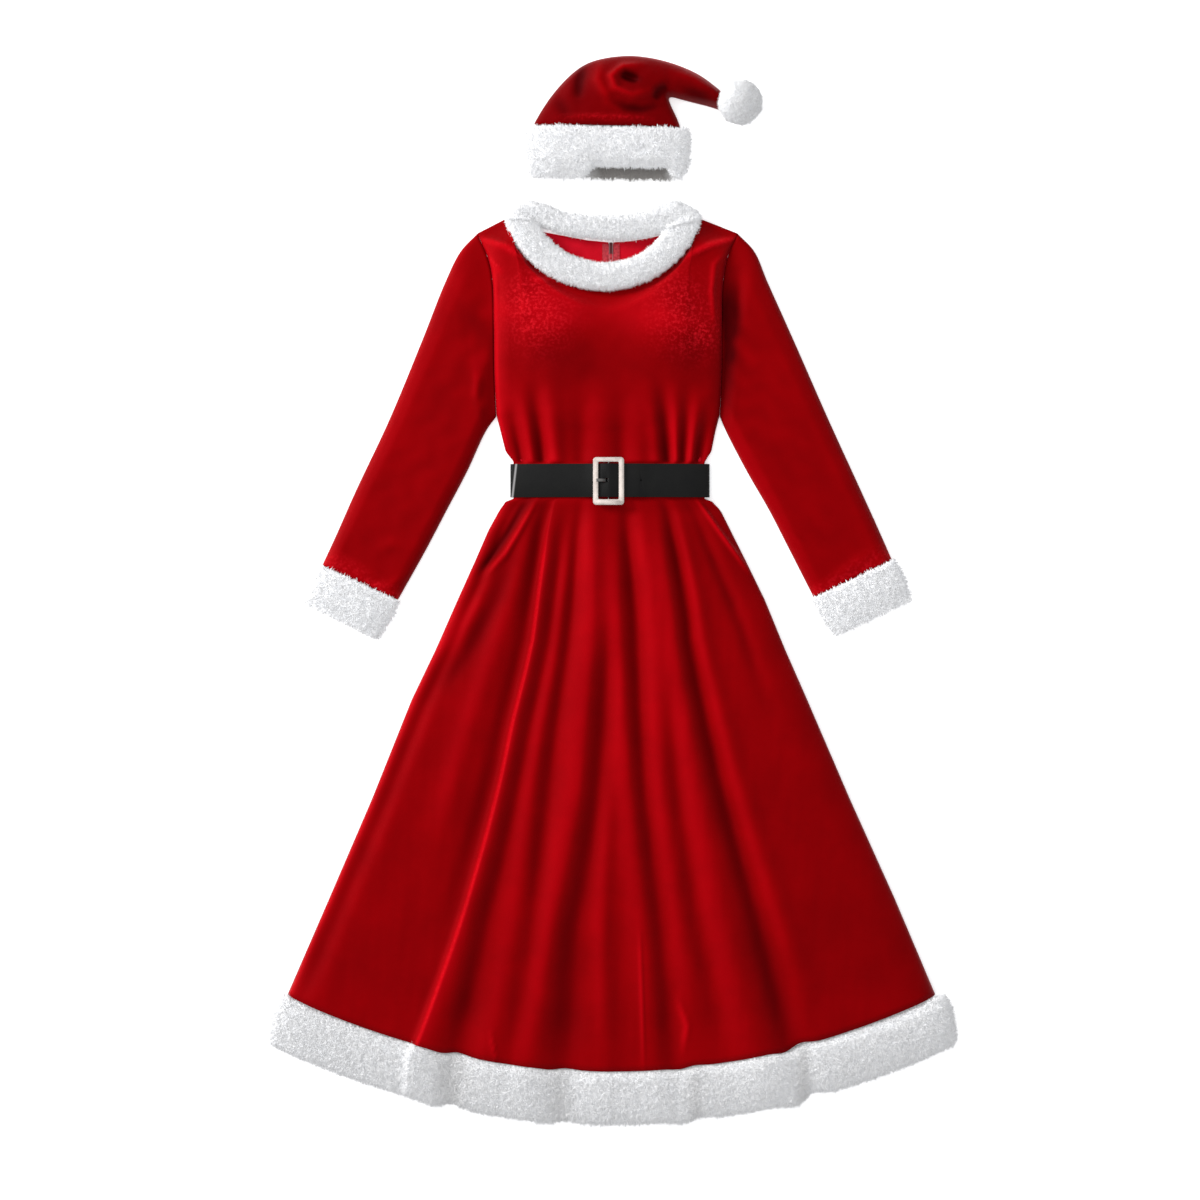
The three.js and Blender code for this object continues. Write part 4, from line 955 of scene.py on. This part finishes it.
# %% Flat tubes
TUBE_ROUNDING = 9  # a flat tube rounds off over this width at its sides
TUBE_EDGE = 4.0  # and its side lies at most this far above the table
TUBE_RIM = 5.2  # the least height of the upper layer of a velvet tube
SLEEVE_AIR = 9


def face_up(thing):
    """Turns the skin the right way out: its highest faces look up."""
    work = bmesh.new()
    work.from_mesh(thing.data)
    bmesh.ops.recalc_face_normals(work, faces=work.faces)
    highest = max(work.faces, key=lambda face: face.calc_center_median().z)
    if highest.normal.z < 0:
        bmesh.ops.reverse_faces(work, faces=work.faces)
    work.to_mesh(thing.data)
    work.free()


def flat_tube(name, plan, high, low, rows, across, under, material, wall_mm, look=None, inset=0.0, cap=False):
    """rows are shares along, across and under count the points of the upper and lower layer."""
    upper = (1 - np.cos(np.linspace(0, math.pi, across))) / 2
    lower = (1 - np.cos(np.linspace(math.pi, 0, under + 2)[1:-1])) / 2
    s, t = np.meshgrid(np.concatenate([upper, lower]), rows)
    is_top = np.concatenate([np.ones(across), np.zeros(under)])[None, :] > 0
    first, last = plan(np.zeros_like(rows), rows), plan(np.ones_like(rows), rows)
    width = np.linalg.norm(last - first, axis=-1)[:, None]
    points = plan(mix(inset / width, 1 - inset / width, s), t)
    x, y = points[..., 0], points[..., 1]
    side = roll(np.minimum(s, 1 - s) * width, TUBE_ROUNDING)
    top = high(s, t, x, y) - inset
    bottom = low + 0 * top
    middle = bottom + np.minimum((top - bottom) * 0.5, TUBE_EDGE)
    z = np.where(is_top, mix(middle, top, side), mix(middle, bottom, side))
    faces = grid_faces(len(rows), s.shape[1], wrap=True)
    if cap:
        base = (len(rows) - 1) * s.shape[1]
        faces.append(tuple(range(base, base + s.shape[1])))
    attributes = look(s, t, x, y, z, is_top) if look else None
    thing = mesh_object(name, np.stack([x, y, z], -1), faces, material, attributes)
    face_up(thing)
    return solidify(thing, wall_mm)


print("flat tubes round over", TUBE_ROUNDING, "mm at their sides")

# %% Sleeves
SLEEVES = {
    "left": {
        "outer": [(-203.45, 538.5), (-228.75, 511.5), (-251.25, 466.5), (-287, 376.5), (-336.75, 256.5),
                  (-386.25, 151.5), (-418, 80), (-437, 39)],
        "inner": [(-174.95, 263), (-190.5, 241), (-218.25, 181.5), (-249.75, 121.5), (-281.25, 61.5),
                  (-323, -13)],
        "shift": -0.2,
        "shades": [],
        "creases": [
            ([(-212, 533), (-206, 531), (-196, 527)], 6.0, 3.0),
            ([(-300, 28), (-335, 8), (-362, 5)], 6.0, 3.2),
            ([(-425, 62), (-390, 40), (-345, 20)], 8.0, 2.2),
            ([(-300, 60), (-330, 70), (-352, 60)], 9.0, 2.0),
            ([(-200, 330), (-204, 290), (-196, 262)], 7.0, 3.0),
            ([(-236, 440), (-214, 400), (-204, 340)], 14.0, -2.5),
        ],
    },
    "right": {
        "outer": [(188.45, 538.5), (213.75, 511.5), (233.25, 466.5), (273.5, 376.5), (326.25, 256.5),
                  (374.25, 151.5), (403, 88), (421, 47)],
        "inner": [(161.7, 263), (171, 241), (201.75, 181.5), (236.25, 121.5), (264.75, 66), (303, -9)],
        "shift": 0.2,
        # A painted shadow that the bodice casts on this sleeve
        "shades": [([(176, 478), (176, 430), (173, 360), (166, 290), (168, 250)], 16.0, -0.55)],
        "creases": [
            ([(258, 93), (272, 82), (288, 71)], 4.0, 2.4),
            ([(342, 34), (376, 50), (408, 73)], 7.0, 3.0),
            ([(312, 10), (350, 30), (400, 50)], 6.0, 2.0),
            ([(196, 520), (205, 500), (214, 470)], 8.0, 3.0),
            ([(186, 500), (190, 460), (192, 400)], 9.0, -4.0),
        ],
    },
}


def sleeve(side):
    spec = SLEEVES[side]
    outer, inner = smooth_path(spec["outer"]), smooth_path(spec["inner"])
    end = line_path(spec["outer"][-1], spec["inner"][-1])
    hole = ARMHOLES[side]

    def armhole(s):
        return hole(s) + np.stack([np.full_like(s, spec["shift"]), -2 * s], -1)

    def plan(s, t):
        return patch(armhole, end, outer, inner, s, t)

    def high(s, t, x, y):
        opening = SIDE_LIFT + CLOTH + 5 * np.sin(math.pi * s)
        loft = TUBE_RIM + SLEEVE_AIR * np.minimum(1, 1.5 * arch(s))
        folds = creases(x, y, spec["creases"]) + 0.9 * ripple(x, y, 60, 31 if side == "left" else 37)
        return mix(opening, loft, ease(0, 0.13, t)) + folds * np.sin(math.pi * s) * ease(0, 0.08, t)

    def look(s, t, x, y, z, is_top):
        # Painted light and shade from the shape, painted light near the cuff with flecks of painted
        # highlight, and on the right sleeve the painted shadow from the shades table
        nap = velvet_look(x, z, power=0.6)["nap"]
        near_cuff = ease(0.93, 0.99, t)
        nap = np.where(is_top, np.clip(nap, 0.3, 0.75), 0.5) - 0.04 + 0.12 * near_cuff
        nap = nap + creases(x, y, spec["shades"])
        return {"nap": nap, "shine": 0.35 * near_cuff}

    rows = np.linspace(0, 1, 100)
    return flat_tube(f"arm_{side}", plan, high, 0.05, rows, 46, 16, velvet, 1.8, look)


arms = {side: sleeve(side) for side in SLEEVES}
for side, arm in arms.items():
    finish_piece(arm, "velvet", f"sleeve_{side}")

# %% [markdown]
# ## Hat cap
# The cap of the hat is a long cone, sewn up one side, that lies flat with its tip fallen to
# the right. Its cloth bunches where it folds over, round a small deep pocket.

# %% Cap of the hat
# outer edge X and Y, inner edge X and Y, and height of each section from brim to tip
CAP_SECTIONS = np.array([
    (-120, 700.6, 102.8, 697.1, 20), (-107.5, 723, 97, 713, 24), (-90, 749, 90, 727, 28),
    (-65, 776.5, 86.5, 735.5, 31), (-41, 794.5, 85.2, 739.2, 33), (-12, 803, 85.2, 741.7, 34),
    (24, 806.8, 86.6, 743.4, 34), (53, 804, 89, 743.9, 32), (81, 798, 93, 743.2, 30),
    (110, 788, 103, 740.5, 28), (134, 776, 122, 735.5, 27), (153, 761.5, 143, 730.5, 27),
    (165, 751, 160, 725, 27), (171.8, 743, 171.8, 721, 27),
], float)
CAP_CREASES = [
    ([(-42, 790), (-50, 765), (-52, 736)], 9.0, -6.5),
    ([(-18, 796), (-22, 765), (-6, 735), (20, 720)], 8.0, 5.5),
    ([(44, 788), (16, 785), (-2, 770), (4, 752), (30, 742), (56, 748)], 6.0, 8.0),
    ([(12, 775), (24, 770), (40, 765)], 6.5, -11.0),
    ([(84, 757), (70, 748), (62, 736)], 7.0, -8.0),
    ([(-14, 738), (22, 724), (45, 722), (74, 728)], 6.0, -5.5),
    ([(-86, 712), (-10, 711), (60, 709)], 4.0, 3.0),
    ([(92, 778), (122, 768), (150, 750)], 7.0, 3.5),
    ([(-86, 742), (-74, 722), (-70, 706)], 10.0, -3.0),
    ([(100, 752), (125, 745), (150, 736)], 7.0, -3.5),
]
CAP_SEAM_LINE = 6  # the crease just above the brim, which gets a painted highlight


def section_reader(table):
    shares = np.linspace(0, 1, len(table))
    return lambda t, column: np.interp(t, shares, table[:, column])


def rounded_sections(table, times=2):
    """Cuts the corners of a table of sections, so that its outline is smooth."""
    for _ in range(times):
        near = mix(table[:-1], table[1:], 0.25)
        far = mix(table[:-1], table[1:], 0.75)
        inner = np.stack([near, far], 1).reshape(-1, table.shape[1])
        table = np.vstack([table[:1], inner[1:-1], table[-1:]])
    return table


def hat_cap():
    read = section_reader(rounded_sections(CAP_SECTIONS))

    def plan(s, t):
        a = np.stack([read(t, 0), read(t, 1)], -1)
        b = np.stack([read(t, 2), read(t, 3)], -1)
        return mix(a, b, np.asarray(s)[..., None])

    def high(s, t, x, y):
        folds = creases(x, y, CAP_CREASES) + 0.8 * ripple(x, y, 34, 51)
        loft = TUBE_RIM + (read(t, 4) - TUBE_RIM) * arch(s)
        return loft + folds * np.sin(math.pi * s) ** 0.7 * ease(1, 0.93, t)

    def look(s, t, x, y, z, is_top):
        # Painted light on the raised folds and painted shade in the sunk ones, darker towards the tip, and a
        # painted highlight along the crease above the brim
        folds = creases(x, y, CAP_CREASES)
        shine = 0.3 * creases(x, y, [(CAP_CREASES[CAP_SEAM_LINE][0], 5.0, 1.0)])
        nap = np.where(is_top, 0.26 + 0.05 * folds, 0.5) - 0.08 * ease(0.6, 0.9, t)
        return {"nap": nap, "shine": shine}

    rows = np.linspace(0, 1, 100)
    return flat_tube("hat_cap", plan, high, 0.05, rows, 54, 16, velvet, 1.8, look, cap=True)


cap = hat_cap()
finish_piece(cap, "velvet", "hat_crown")

# %% [markdown]
# ## Fur
# Faux fur is thousands of short hairs that lie in small tufts. Geometry Nodes scatter
# points over the skin, stand a thin three-sided lock on each, and lean it by a noise that
# neighbours share, which makes the tufts. The locks are realised, so the piece ends as one
# plain mesh. No lock grows on the side that lies on the table.

# %% The fur tree
FACES_UP = -0.25  # locks grow where the normal's Z is above this
LOCK_SIZES = (0.7, 1.15)  # least and greatest, against the given length
TUFT_GROWTH = (1.6, 0.2)  # gain and offset of the size by the noise that tufts share


def fur_tree():
    tree = bpy.data.node_groups.new("short fur", "GeometryNodeTree")
    face = tree.interface
    face.new_socket(name="Geometry", in_out="INPUT", socket_type="NodeSocketGeometry")
    for title, kind, value in [
        ("Density", "NodeSocketFloat", 100000.0),
        ("Length", "NodeSocketFloat", 0.009),
        ("Width", "NodeSocketFloat", 0.0012),
        ("Comb", "NodeSocketVector", (0.0, 0.0, 0.0)),
        ("Tuft lean", "NodeSocketFloat", 1.2),
        ("Tuft scale", "NodeSocketFloat", 90.0),
        ("Stray", "NodeSocketFloat", 0.35),
        ("Stand", "NodeSocketFloat", 1.0),
        ("Seed", "NodeSocketInt", 1),
        ("Material", "NodeSocketMaterial", None),
    ]:
        socket = face.new_socket(name=title, in_out="INPUT", socket_type=kind)
        if value is not None:
            socket.default_value = value
    face.new_socket(name="Geometry", in_out="OUTPUT", socket_type="NodeSocketGeometry")
    link = tree.links.new
    start = tree.nodes.new("NodeGroupInput")
    end = tree.nodes.new("NodeGroupOutput")

    def vector_math(operation, first, second=None, scale=None):
        node = tree.nodes.new("ShaderNodeVectorMath")
        node.operation = operation
        link(first, node.inputs[0])
        if isinstance(second, tuple):
            node.inputs[1].default_value = second
        elif second is not None:
            link(second, node.inputs[1])
        if scale is not None:
            link(scale, node.inputs["Scale"])
        return node.outputs[0]

    normal = tree.nodes.new("GeometryNodeInputNormal")
    parts = tree.nodes.new("ShaderNodeSeparateXYZ")
    link(normal.outputs[0], parts.inputs[0])
    upward = math_node(tree, "GREATER_THAN", parts.outputs["Z"], FACES_UP)
    scatter = tree.nodes.new("GeometryNodeDistributePointsOnFaces")
    link(start.outputs["Geometry"], scatter.inputs["Mesh"])
    link(math_node(tree, "MULTIPLY", upward, start.outputs["Density"]), scatter.inputs["Density"])
    link(start.outputs["Seed"], scatter.inputs["Seed"])
    spot = tree.nodes.new("GeometryNodeInputPosition")
    noise = tree.nodes.new("ShaderNodeTexNoise")
    noise.inputs["Detail"].default_value = 1.5
    link(spot.outputs[0], noise.inputs["Vector"])
    link(start.outputs["Tuft scale"], noise.inputs["Scale"])
    tuft = vector_math("SUBTRACT", noise.outputs["Color"], (0.5, 0.5, 0.5))
    tuft = vector_math("SCALE", tuft, scale=start.outputs["Tuft lean"])
    stray = tree.nodes.new("FunctionNodeRandomValue")
    stray.data_type = "FLOAT_VECTOR"
    stray.inputs["Min"].default_value = (-1, -1, -1)
    stray.inputs["Max"].default_value = (1, 1, 1)
    link(start.outputs["Seed"], stray.inputs["Seed"])
    loose = vector_math("SCALE", stray.outputs["Value"], scale=start.outputs["Stray"])
    lean = vector_math("ADD", vector_math("ADD", tuft, loose), start.outputs["Comb"])
    upright = vector_math("SCALE", scatter.outputs["Normal"], scale=start.outputs["Stand"])
    direction = vector_math("ADD", upright, lean)
    turn = tree.nodes.new("FunctionNodeAlignRotationToVector")
    turn.axis = "Z"
    link(direction, turn.inputs["Vector"])
    lock = tree.nodes.new("GeometryNodeMeshCone")
    lock.fill_type = "NONE"
    lock.inputs["Vertices"].default_value = 3
    lock.inputs["Radius Top"].default_value = 0.0
    link(start.outputs["Width"], lock.inputs["Radius Bottom"])
    link(start.outputs["Length"], lock.inputs["Depth"])
    size = tree.nodes.new("FunctionNodeRandomValue")
    size.data_type = "FLOAT"
    size.inputs[2].default_value, size.inputs[3].default_value = LOCK_SIZES
    grown = math_node(tree, "MULTIPLY_ADD", noise.outputs["Fac"], *TUFT_GROWTH)
    put = tree.nodes.new("GeometryNodeInstanceOnPoints")
    link(scatter.outputs["Points"], put.inputs["Points"])
    link(lock.outputs["Mesh"], put.inputs["Instance"])
    link(turn.outputs["Rotation"], put.inputs["Rotation"])
    link(math_node(tree, "MULTIPLY", size.outputs[1], grown), put.inputs["Scale"])
    real = tree.nodes.new("GeometryNodeRealizeInstances")
    link(put.outputs[0], real.inputs[0])
    smooth = tree.nodes.new("GeometryNodeSetShadeSmooth")
    link(real.outputs[0], smooth.inputs[0])
    both = tree.nodes.new("GeometryNodeJoinGeometry")
    link(smooth.outputs[0], both.inputs[0])
    link(start.outputs["Geometry"], both.inputs[0])
    paint = tree.nodes.new("GeometryNodeSetMaterial")
    link(both.outputs[0], paint.inputs["Geometry"])
    link(start.outputs["Material"], paint.inputs["Material"])
    link(paint.outputs[0], end.inputs[0])
    return tree


FUR_TREE = fur_tree()


def upward_area(thing):
    return sum(p.area for p in thing.data.polygons if p.normal.z > FACES_UP)


LOWEST_TIP = 0.1  # mm above the table
LOCKS = {"hem half": 44000, "neck": 34000, "cuff": 12500, "brim": 27000, "pompom": 15000}
FUR_LOOK = {
    "Length": 0.0062, "Width": 0.001, "Stand": 0.7, "Tuft lean": 1.3, "Tuft scale": 210.0, "Stray": 0.6,
}


def grow_fur(skin, locks, **values):
    """Covers a skin with about this many locks."""
    values = FUR_LOOK | values
    modifier = skin.modifiers.new("fur", "NODES")
    modifier.node_group = FUR_TREE
    keys = {s.name: s.identifier for s in FUR_TREE.interface.items_tree if s.in_out == "INPUT"}
    values["Density"] = locks / upward_area(skin)
    values["Material"] = fur
    for title, value in values.items():
        modifier[keys[title]] = value
    return press_on_table(bake(skin))


def press_on_table(thing):
    """Lifts the tips that hang below the table, so that the fur lies on it."""
    count = len(thing.data.vertices)
    spots = np.empty(3 * count, np.float32)
    thing.data.vertices.foreach_get("co", spots)
    spots[2::3] = np.maximum(spots[2::3], LOWEST_TIP * MM)
    thing.data.vertices.foreach_set("co", spots)
    return thing


print("fur inputs:", [s.name for s in FUR_TREE.interface.items_tree if s.in_out == "INPUT"])

# %% [markdown]
# ## Fur hem
# The hem band is about 75 mm deep and follows the folds of the skirt, so its skin is made
# from the same fold table. Its edge steps up where the cloth goes behind a fold. It is made
# in two halves, to keep each mesh small.

# %% Fur hem
HEM_EDGE, HEM_EDGE_SAG = -682.0, 120.0
HEM_SPAN = 1000  # about the width of the hem
HEM_END_HALF = 516.75  # half the width of the hem's lowest edge
HEM_SEAM_LEFT, HEM_SEAM_RIGHT = -495, 493
HEM_END_INSET = 1.5
HEM_BACK_TOPS = (8.2, 3)  # height of the back band at its seam and at its lowest edge
HEM_THICKNESS = (5, 16)  # of the front band at its side ends and elsewhere
THINNEST_FUR = 0.6
FUR_DEPTH = 2.0  # the skin lies this far inside the fur's outer form
# X, half width and power of the soft grey shades between the folds of the fur
HEM_SHADES = [(-239, 26, 0.2), (-79, 20, 0.15), (124, 14, 0.15), (286, 11, 0.2)]


def hem_edge(share):
    """0 at the side edges of the hem and 1 away from them."""
    return roll(np.minimum(share, 1 - share) * HEM_SPAN, HEM_ROUNDING)


def hem_point(share, q):
    left = mix(HEM_SEAM_LEFT, -HEM_END_HALF, roll(q, 1))
    right = mix(HEM_SEAM_RIGHT, HEM_END_HALF, roll(q, 1))
    level = mix(HEM_SEAM, HEM_EDGE, q)
    sag = mix(HEM_SAG, HEM_EDGE_SAG, q)
    y = level - SEAM - sag * (1 - (2 * share - 1) ** 2) + hem_kink(share) * mix(1, 1.9, q)
    return mix(left, right, share), y


def hem_back_top(share, q):
    return mix(*HEM_BACK_TOPS, q) * hem_edge(share) + THINNEST_FUR


def closed_bar_faces(sections, ring):
    last = (sections - 1) * ring
    return [*grid_faces(sections, ring, wrap=True), tuple(range(ring)), tuple(range(last, last + ring))]


def hem_front(name, low_share, high_share, seed):
    share_steps = np.linspace(low_share, high_share, 120)
    upper_q = np.array([0.0, 0.02, 0.06, 0.12, 0.2, 0.3, 0.42, 0.54, 0.66, 0.76, 0.84, 0.9, 0.95, 0.98])
    q_steps = np.concatenate([upper_q, [0.96, 0.7, 0.4, 0.1]])
    q, share = np.meshgrid(q_steps, share_steps)
    is_top = np.arange(len(q_steps))[None, :] < len(upper_q)
    edge = hem_edge(share)
    folds = fold_sum(SKIRT_FOLDS, share, np.ones_like(share)) * edge
    under = hem_back_top(share, q) + SEAM + np.maximum(folds * 1.1 + 6, 0) * (1 - 0.45 * q) * edge
    thick = mix(*HEM_THICKNESS, edge) * (0.45 + 0.55 * np.sin(math.pi * mix(0.12, 0.9, q)))
    rise = mix(0.5, 1, ease(0, 0.12, q)) * mix(1, 0.4, ease(0.88, 0.98, q))
    z = np.where(is_top, np.maximum(under + thick * rise - FUR_DEPTH, under + THINNEST_FUR), under)
    x, y = hem_point(share, mix(0.02, 0.99, q))
    x = x * (1 - HEM_END_INSET / HEM_END_HALF)
    shade = 0.06 + sum(power * bump(x - centre, half) for centre, half, power in HEM_SHADES)
    thing = mesh_object(name, np.stack([x, y, z], -1), closed_bar_faces(*q.shape), fur, {"shade": shade})
    face_up(thing)
    return grow_fur(thing, LOCKS["hem half"], Comb=(0.0, -0.2, 0.0), Seed=seed)


hem_left = hem_front("hem_fur_left", 0.0, 0.5, 3)
hem_right = hem_front("hem_fur_right", 0.5, 1.0, 4)
finish_piece(hem_left, "fur", "hem_band_front")
finish_piece(hem_right, "fur", "hem_band_front")

# %% [markdown]
# ## Fur round the neck
# The band is sewn round the neckline, wide and round in front and narrower behind, where it
# lies on the table. It closes at the centre back over the zip.

# %% Neck band
NECK_IN_X, NECK_IN_Y, NECK_IN_HALF = -18, 549, 89
NECK_IN_FRONT, NECK_IN_BACK, NECK_TILT = 52, 24, 0.07
NECK_HEIGHTS = (21, 27)
NECK_SQUARENESS = 0.75  # 1 would give a round section
NECK_INNER_INSET = 7.5  # the locks hang over the inner edge by this much
# distance from the shoulder to the centre back, and how far the top edge rises there
BAND_RISE = np.array([(0, 0), (0.2, 5.5), (0.465, 17.5), (0.66, 25), (0.8, 19), (0.9, 8), (1, 2.5)])


def neck_fur():
    angle = np.linspace(-math.pi / 2, 1.5 * math.pi, 181)[:-1][:, None]
    turn = np.linspace(0, 2 * math.pi, 25)[:-1][None, :]
    c, m = np.cos(angle), np.abs(np.sin(angle))
    front = np.sin(angle) > 0
    bow = m ** NECK_POWER
    outer_x = NECK_X + NECK_HALF * c
    outer_y = NECK_Y + np.where(front, -NECK_DEPTH * bow, np.interp(m, BAND_RISE[:, 0], BAND_RISE[:, 1]))
    inner_x = NECK_IN_X + NECK_IN_HALF * c
    inner_y = NECK_IN_Y - np.where(front, NECK_IN_FRONT, NECK_IN_BACK) * bow - NECK_TILT * NECK_IN_HALF * c
    low = 4.6 * np.where(front, 1, ease(0.62, 0.25, m))
    top = mix(*NECK_HEIGHTS, np.where(front, ease(-0.3, 0.6, m), ease(0.4, 0, m)))
    width = np.hypot(outer_x - inner_x, outer_y - inner_y)

    def box_round(value):
        return np.sign(value) * np.abs(value) ** NECK_SQUARENESS

    across = 0.5 - 0.5 * box_round(np.cos(turn))
    across = mix(FUR_DEPTH / width, 1 - NECK_INNER_INSET / width, across)
    x, y = mix(outer_x, inner_x, across), mix(outer_y, inner_y, across)
    z = mix(low, top - FUR_DEPTH, 0.5 + 0.5 * box_round(np.sin(turn)))
    count, ring = x.shape
    faces = grid_faces(count, ring, wrap=True)
    last = (count - 1) * ring
    faces += [(last + (j + 1) % ring, last + j, j, (j + 1) % ring) for j in range(ring)]
    thing = mesh_object("neck_fur", np.stack([x, y, z], -1), faces, fur)
    face_up(thing)
    return grow_fur(thing, LOCKS["neck"], Seed=1)


neck_band = neck_fur()
finish_piece(neck_band, "fur", "neck_band")

# %% [markdown]
# ## Fur cuffs, brim and pompom
# The cuffs and the brim are short flat tubes with a fur skin. Behind the brim's front edge
# the inside of its back shows in the shade. The pompom is a ball of longer locks.

# %% Cuffs
CUFFS = {
    "left": {
        "start": [(-437, 39), (-323, -13)],
        "stop": [(-465.75, -16.5), (-354.75, -73.5)],
        "comb": (-0.1, -0.2, 0),
    },
    "right": {
        "start": [(421, 47), (303, -9)],
        "stop": [(449.25, -13.5), (335.25, -67.5)],
        "comb": (0.1, -0.2, 0),
    },
}


def cuff(side, seed):
    spec = CUFFS[side]
    (ax, ay), (bx, by) = spec["start"]
    along = np.array([bx - ax, by - ay]) / math.hypot(bx - ax, by - ay)
    start = np.array(spec["start"]) + np.array([-4.0, 4.0])[:, None] * along
    stop = np.array(spec["stop"])

    def plan(s, t):
        t1 = np.asarray(t)[..., None]
        swell = 3 * np.sin(math.pi * t1) * along
        a, b = mix(start[0], stop[0], t1) - swell, mix(start[1], stop[1], t1) + swell
        return mix(a, b, np.asarray(s)[..., None])

    def high(s, t, x, y):
        return 10 + 14 * arch(s) * (0.7 + 0.3 * np.sin(math.pi * t))

    thing = flat_tube(f"cuff_fur_{side}", plan, high, 1.2, np.linspace(0.03, 0.96, 22), 36, 14, fur, 1.5,
                      inset=FUR_DEPTH)
    return grow_fur(thing, LOCKS["cuff"], Comb=spec["comb"], Seed=seed)


cuffs = {side: cuff(side, seed) for side, seed in (("left", 5), ("right", 6))}
for side, thing in cuffs.items():
    finish_piece(thing, "fur", f"cuff_{side}")

# %% Brim
# Y at the middle, left edge, right edge and height of each section from the cap to the edge
BRIM_SECTIONS = np.array([
    (698.5, -128, 112, 15), (691, -132.5, 116.5, 23), (670, -135, 117, 27),
    (648, -133.5, 116, 27), (630, -127, 110, 22), (620.5, -118, 103, 14),
], float)
BRIM_SLOPE = -0.0158
UPPER_LAYER = 7.0  # the skin above this height is the upper layer
OPENING_DEPTH = 15  # the upper layer is drawn back by this much at the opening


def brim():
    read = section_reader(rounded_sections(BRIM_SECTIONS))

    def plan(s, t):
        x = mix(read(t, 1), read(t, 2), s)
        return np.stack([x, read(t, 0) + BRIM_SLOPE * x], -1)

    def high(s, t, x, y):
        return 9 + (read(t, 3) - 9) * np.minimum(1, 1.25 * arch(s)) + 1.5 * ripple(x, y, 60, 71)

    def look(s, t, x, y, z, is_top):
        """The inside of the back, which shows below the front edge, lies in the shade."""
        return {"shade": np.where(is_top, 0.0, 0.9 * ease(-44, -26, x) * ease(96, 80, x))}

    rows = np.linspace(0.03, 0.97, 30)
    thing = flat_tube("brim_fur", plan, high, 1.2, rows, 60, 20, fur, 1.5, look, FUR_DEPTH)
    draw_back_front_edge(thing)
    return grow_fur(thing, LOCKS["brim"], Seed=7)


def draw_back_front_edge(thing):
    """Draws the upper layer back a little at the opening, so that the inside shows."""
    for vertex in thing.data.vertices:
        x, y, z = vertex.co / MM
        window = float(ease(-48, -24, x) * ease(100, 78, x))
        near = float(ease(662, 622, y - BRIM_SLOPE * x))
        if z > UPPER_LAYER:
            vertex.co.y += OPENING_DEPTH * MM * window * near


brim_band = brim()
finish_piece(brim_band, "fur", "hat_brim")

# %% Pompom
POMPOM_X, POMPOM_Y, POMPOM_RADIUS, POMPOM_FLAT = 0.19125, 0.732, 0.0255, 0.85
POMPOM_LOOK = {"Length": 0.0085, "Width": 0.001, "Stand": 1.0, "Tuft scale": 260.0, "Seed": 11}


def pompom():
    low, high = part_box("hat_pompom")
    centre = Vector((POMPOM_X, POMPOM_Y, (low.z + high.z) / 2))
    work = bmesh.new()
    bmesh.ops.create_icosphere(work, subdivisions=4, radius=POMPOM_RADIUS)
    for vertex in work.verts:
        vertex.co = Vector((vertex.co.x, vertex.co.y, vertex.co.z * POMPOM_FLAT)) + centre
    mesh = bpy.data.meshes.new("pompom_fur")
    work.to_mesh(mesh)
    work.free()
    mesh.materials.append(fur)
    ball = place(bpy.data.objects.new("pompom_fur", mesh))
    return grow_fur(ball, LOCKS["pompom"], **POMPOM_LOOK)


pompom_fur = pompom()
finish_piece(pompom_fur, "fur", "hat_pompom")

# %% [markdown]
# ## Pieces whose form the model already has
# The back panels, the back of the hem, the strap and the buckle follow their solids. A copy
# of a solid is merged into one skin first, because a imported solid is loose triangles. Hard
# pieces get a small bevel, which catches the light along their edges.

# %% Copies of solids
SAME_SPOT = 1e-6  # corners nearer than this, in metres, are one
FLAT_ANGLE, BEVEL_ANGLE, SHARP_ANGLE = math.radians(2), math.radians(40), math.radians(35)
BEVEL_STEPS = 2


def copy_of(node, name, material, bevel_mm=0.0):
    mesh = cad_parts[node].data.copy()
    mesh.name = name
    mesh.materials.clear()
    mesh.materials.append(material)
    work = bmesh.new()
    work.from_mesh(mesh)
    bmesh.ops.remove_doubles(work, verts=work.verts, dist=SAME_SPOT)
    bmesh.ops.dissolve_limit(work, angle_limit=FLAT_ANGLE, verts=work.verts, edges=work.edges)
    bmesh.ops.recalc_face_normals(work, faces=work.faces)
    work.to_mesh(mesh)
    work.free()
    thing = place(bpy.data.objects.new(name, mesh))
    if bevel_mm:
        modifier = thing.modifiers.new("edges", "BEVEL")
        modifier.width = bevel_mm * MM
        modifier.segments = BEVEL_STEPS
        modifier.limit_method = "ANGLE"
        modifier.angle_limit = BEVEL_ANGLE
        bake(thing)
    mesh = thing.data
    mesh.polygons.foreach_set("use_smooth", [True] * len(mesh.polygons))
    mesh.set_sharp_from_angle(angle=SHARP_ANGLE)
    return thing


back_panels = {}
for side in ("left", "right"):
    back_panels[side] = copy_of(f"bodice_back_{side}", f"back_bodice_{side}", velvet_inside)
    finish_piece(back_panels[side], "velvet", f"bodice_back_{side}")
hem_back = copy_of("hem_band_back", "hem_fur_back", fur)
strap = copy_of("belt_strap", "strap", leather, 0.35)
buckle = copy_of("belt_buckle", "buckle", silver, 0.8)
prong = copy_of("belt_prong", "prong", prong_steel, 0.4)
finish_piece(hem_back, "fur", "hem_band_back")
finish_piece(strap, "belt", "belt_strap")
finish_piece(buckle, "buckle", "belt_buckle")
finish_piece(prong, "buckle", "belt_prong")

# %% [markdown]
# ## Zip
# The zip runs down the centre back and shows inside the neckline.

# %% Zip finishes


def finish_node(node, material):
    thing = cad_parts[node]
    thing.data.materials.clear()
    thing.data.materials.append(material)


for node in ("zip_tape_left", "zip_tape_right", "zip_chain"):
    finish_node(node, zip_cloth)
for node in ("zip_slider", "zip_pull"):
    finish_node(node, dark_trim)
print("zip nodes finished")
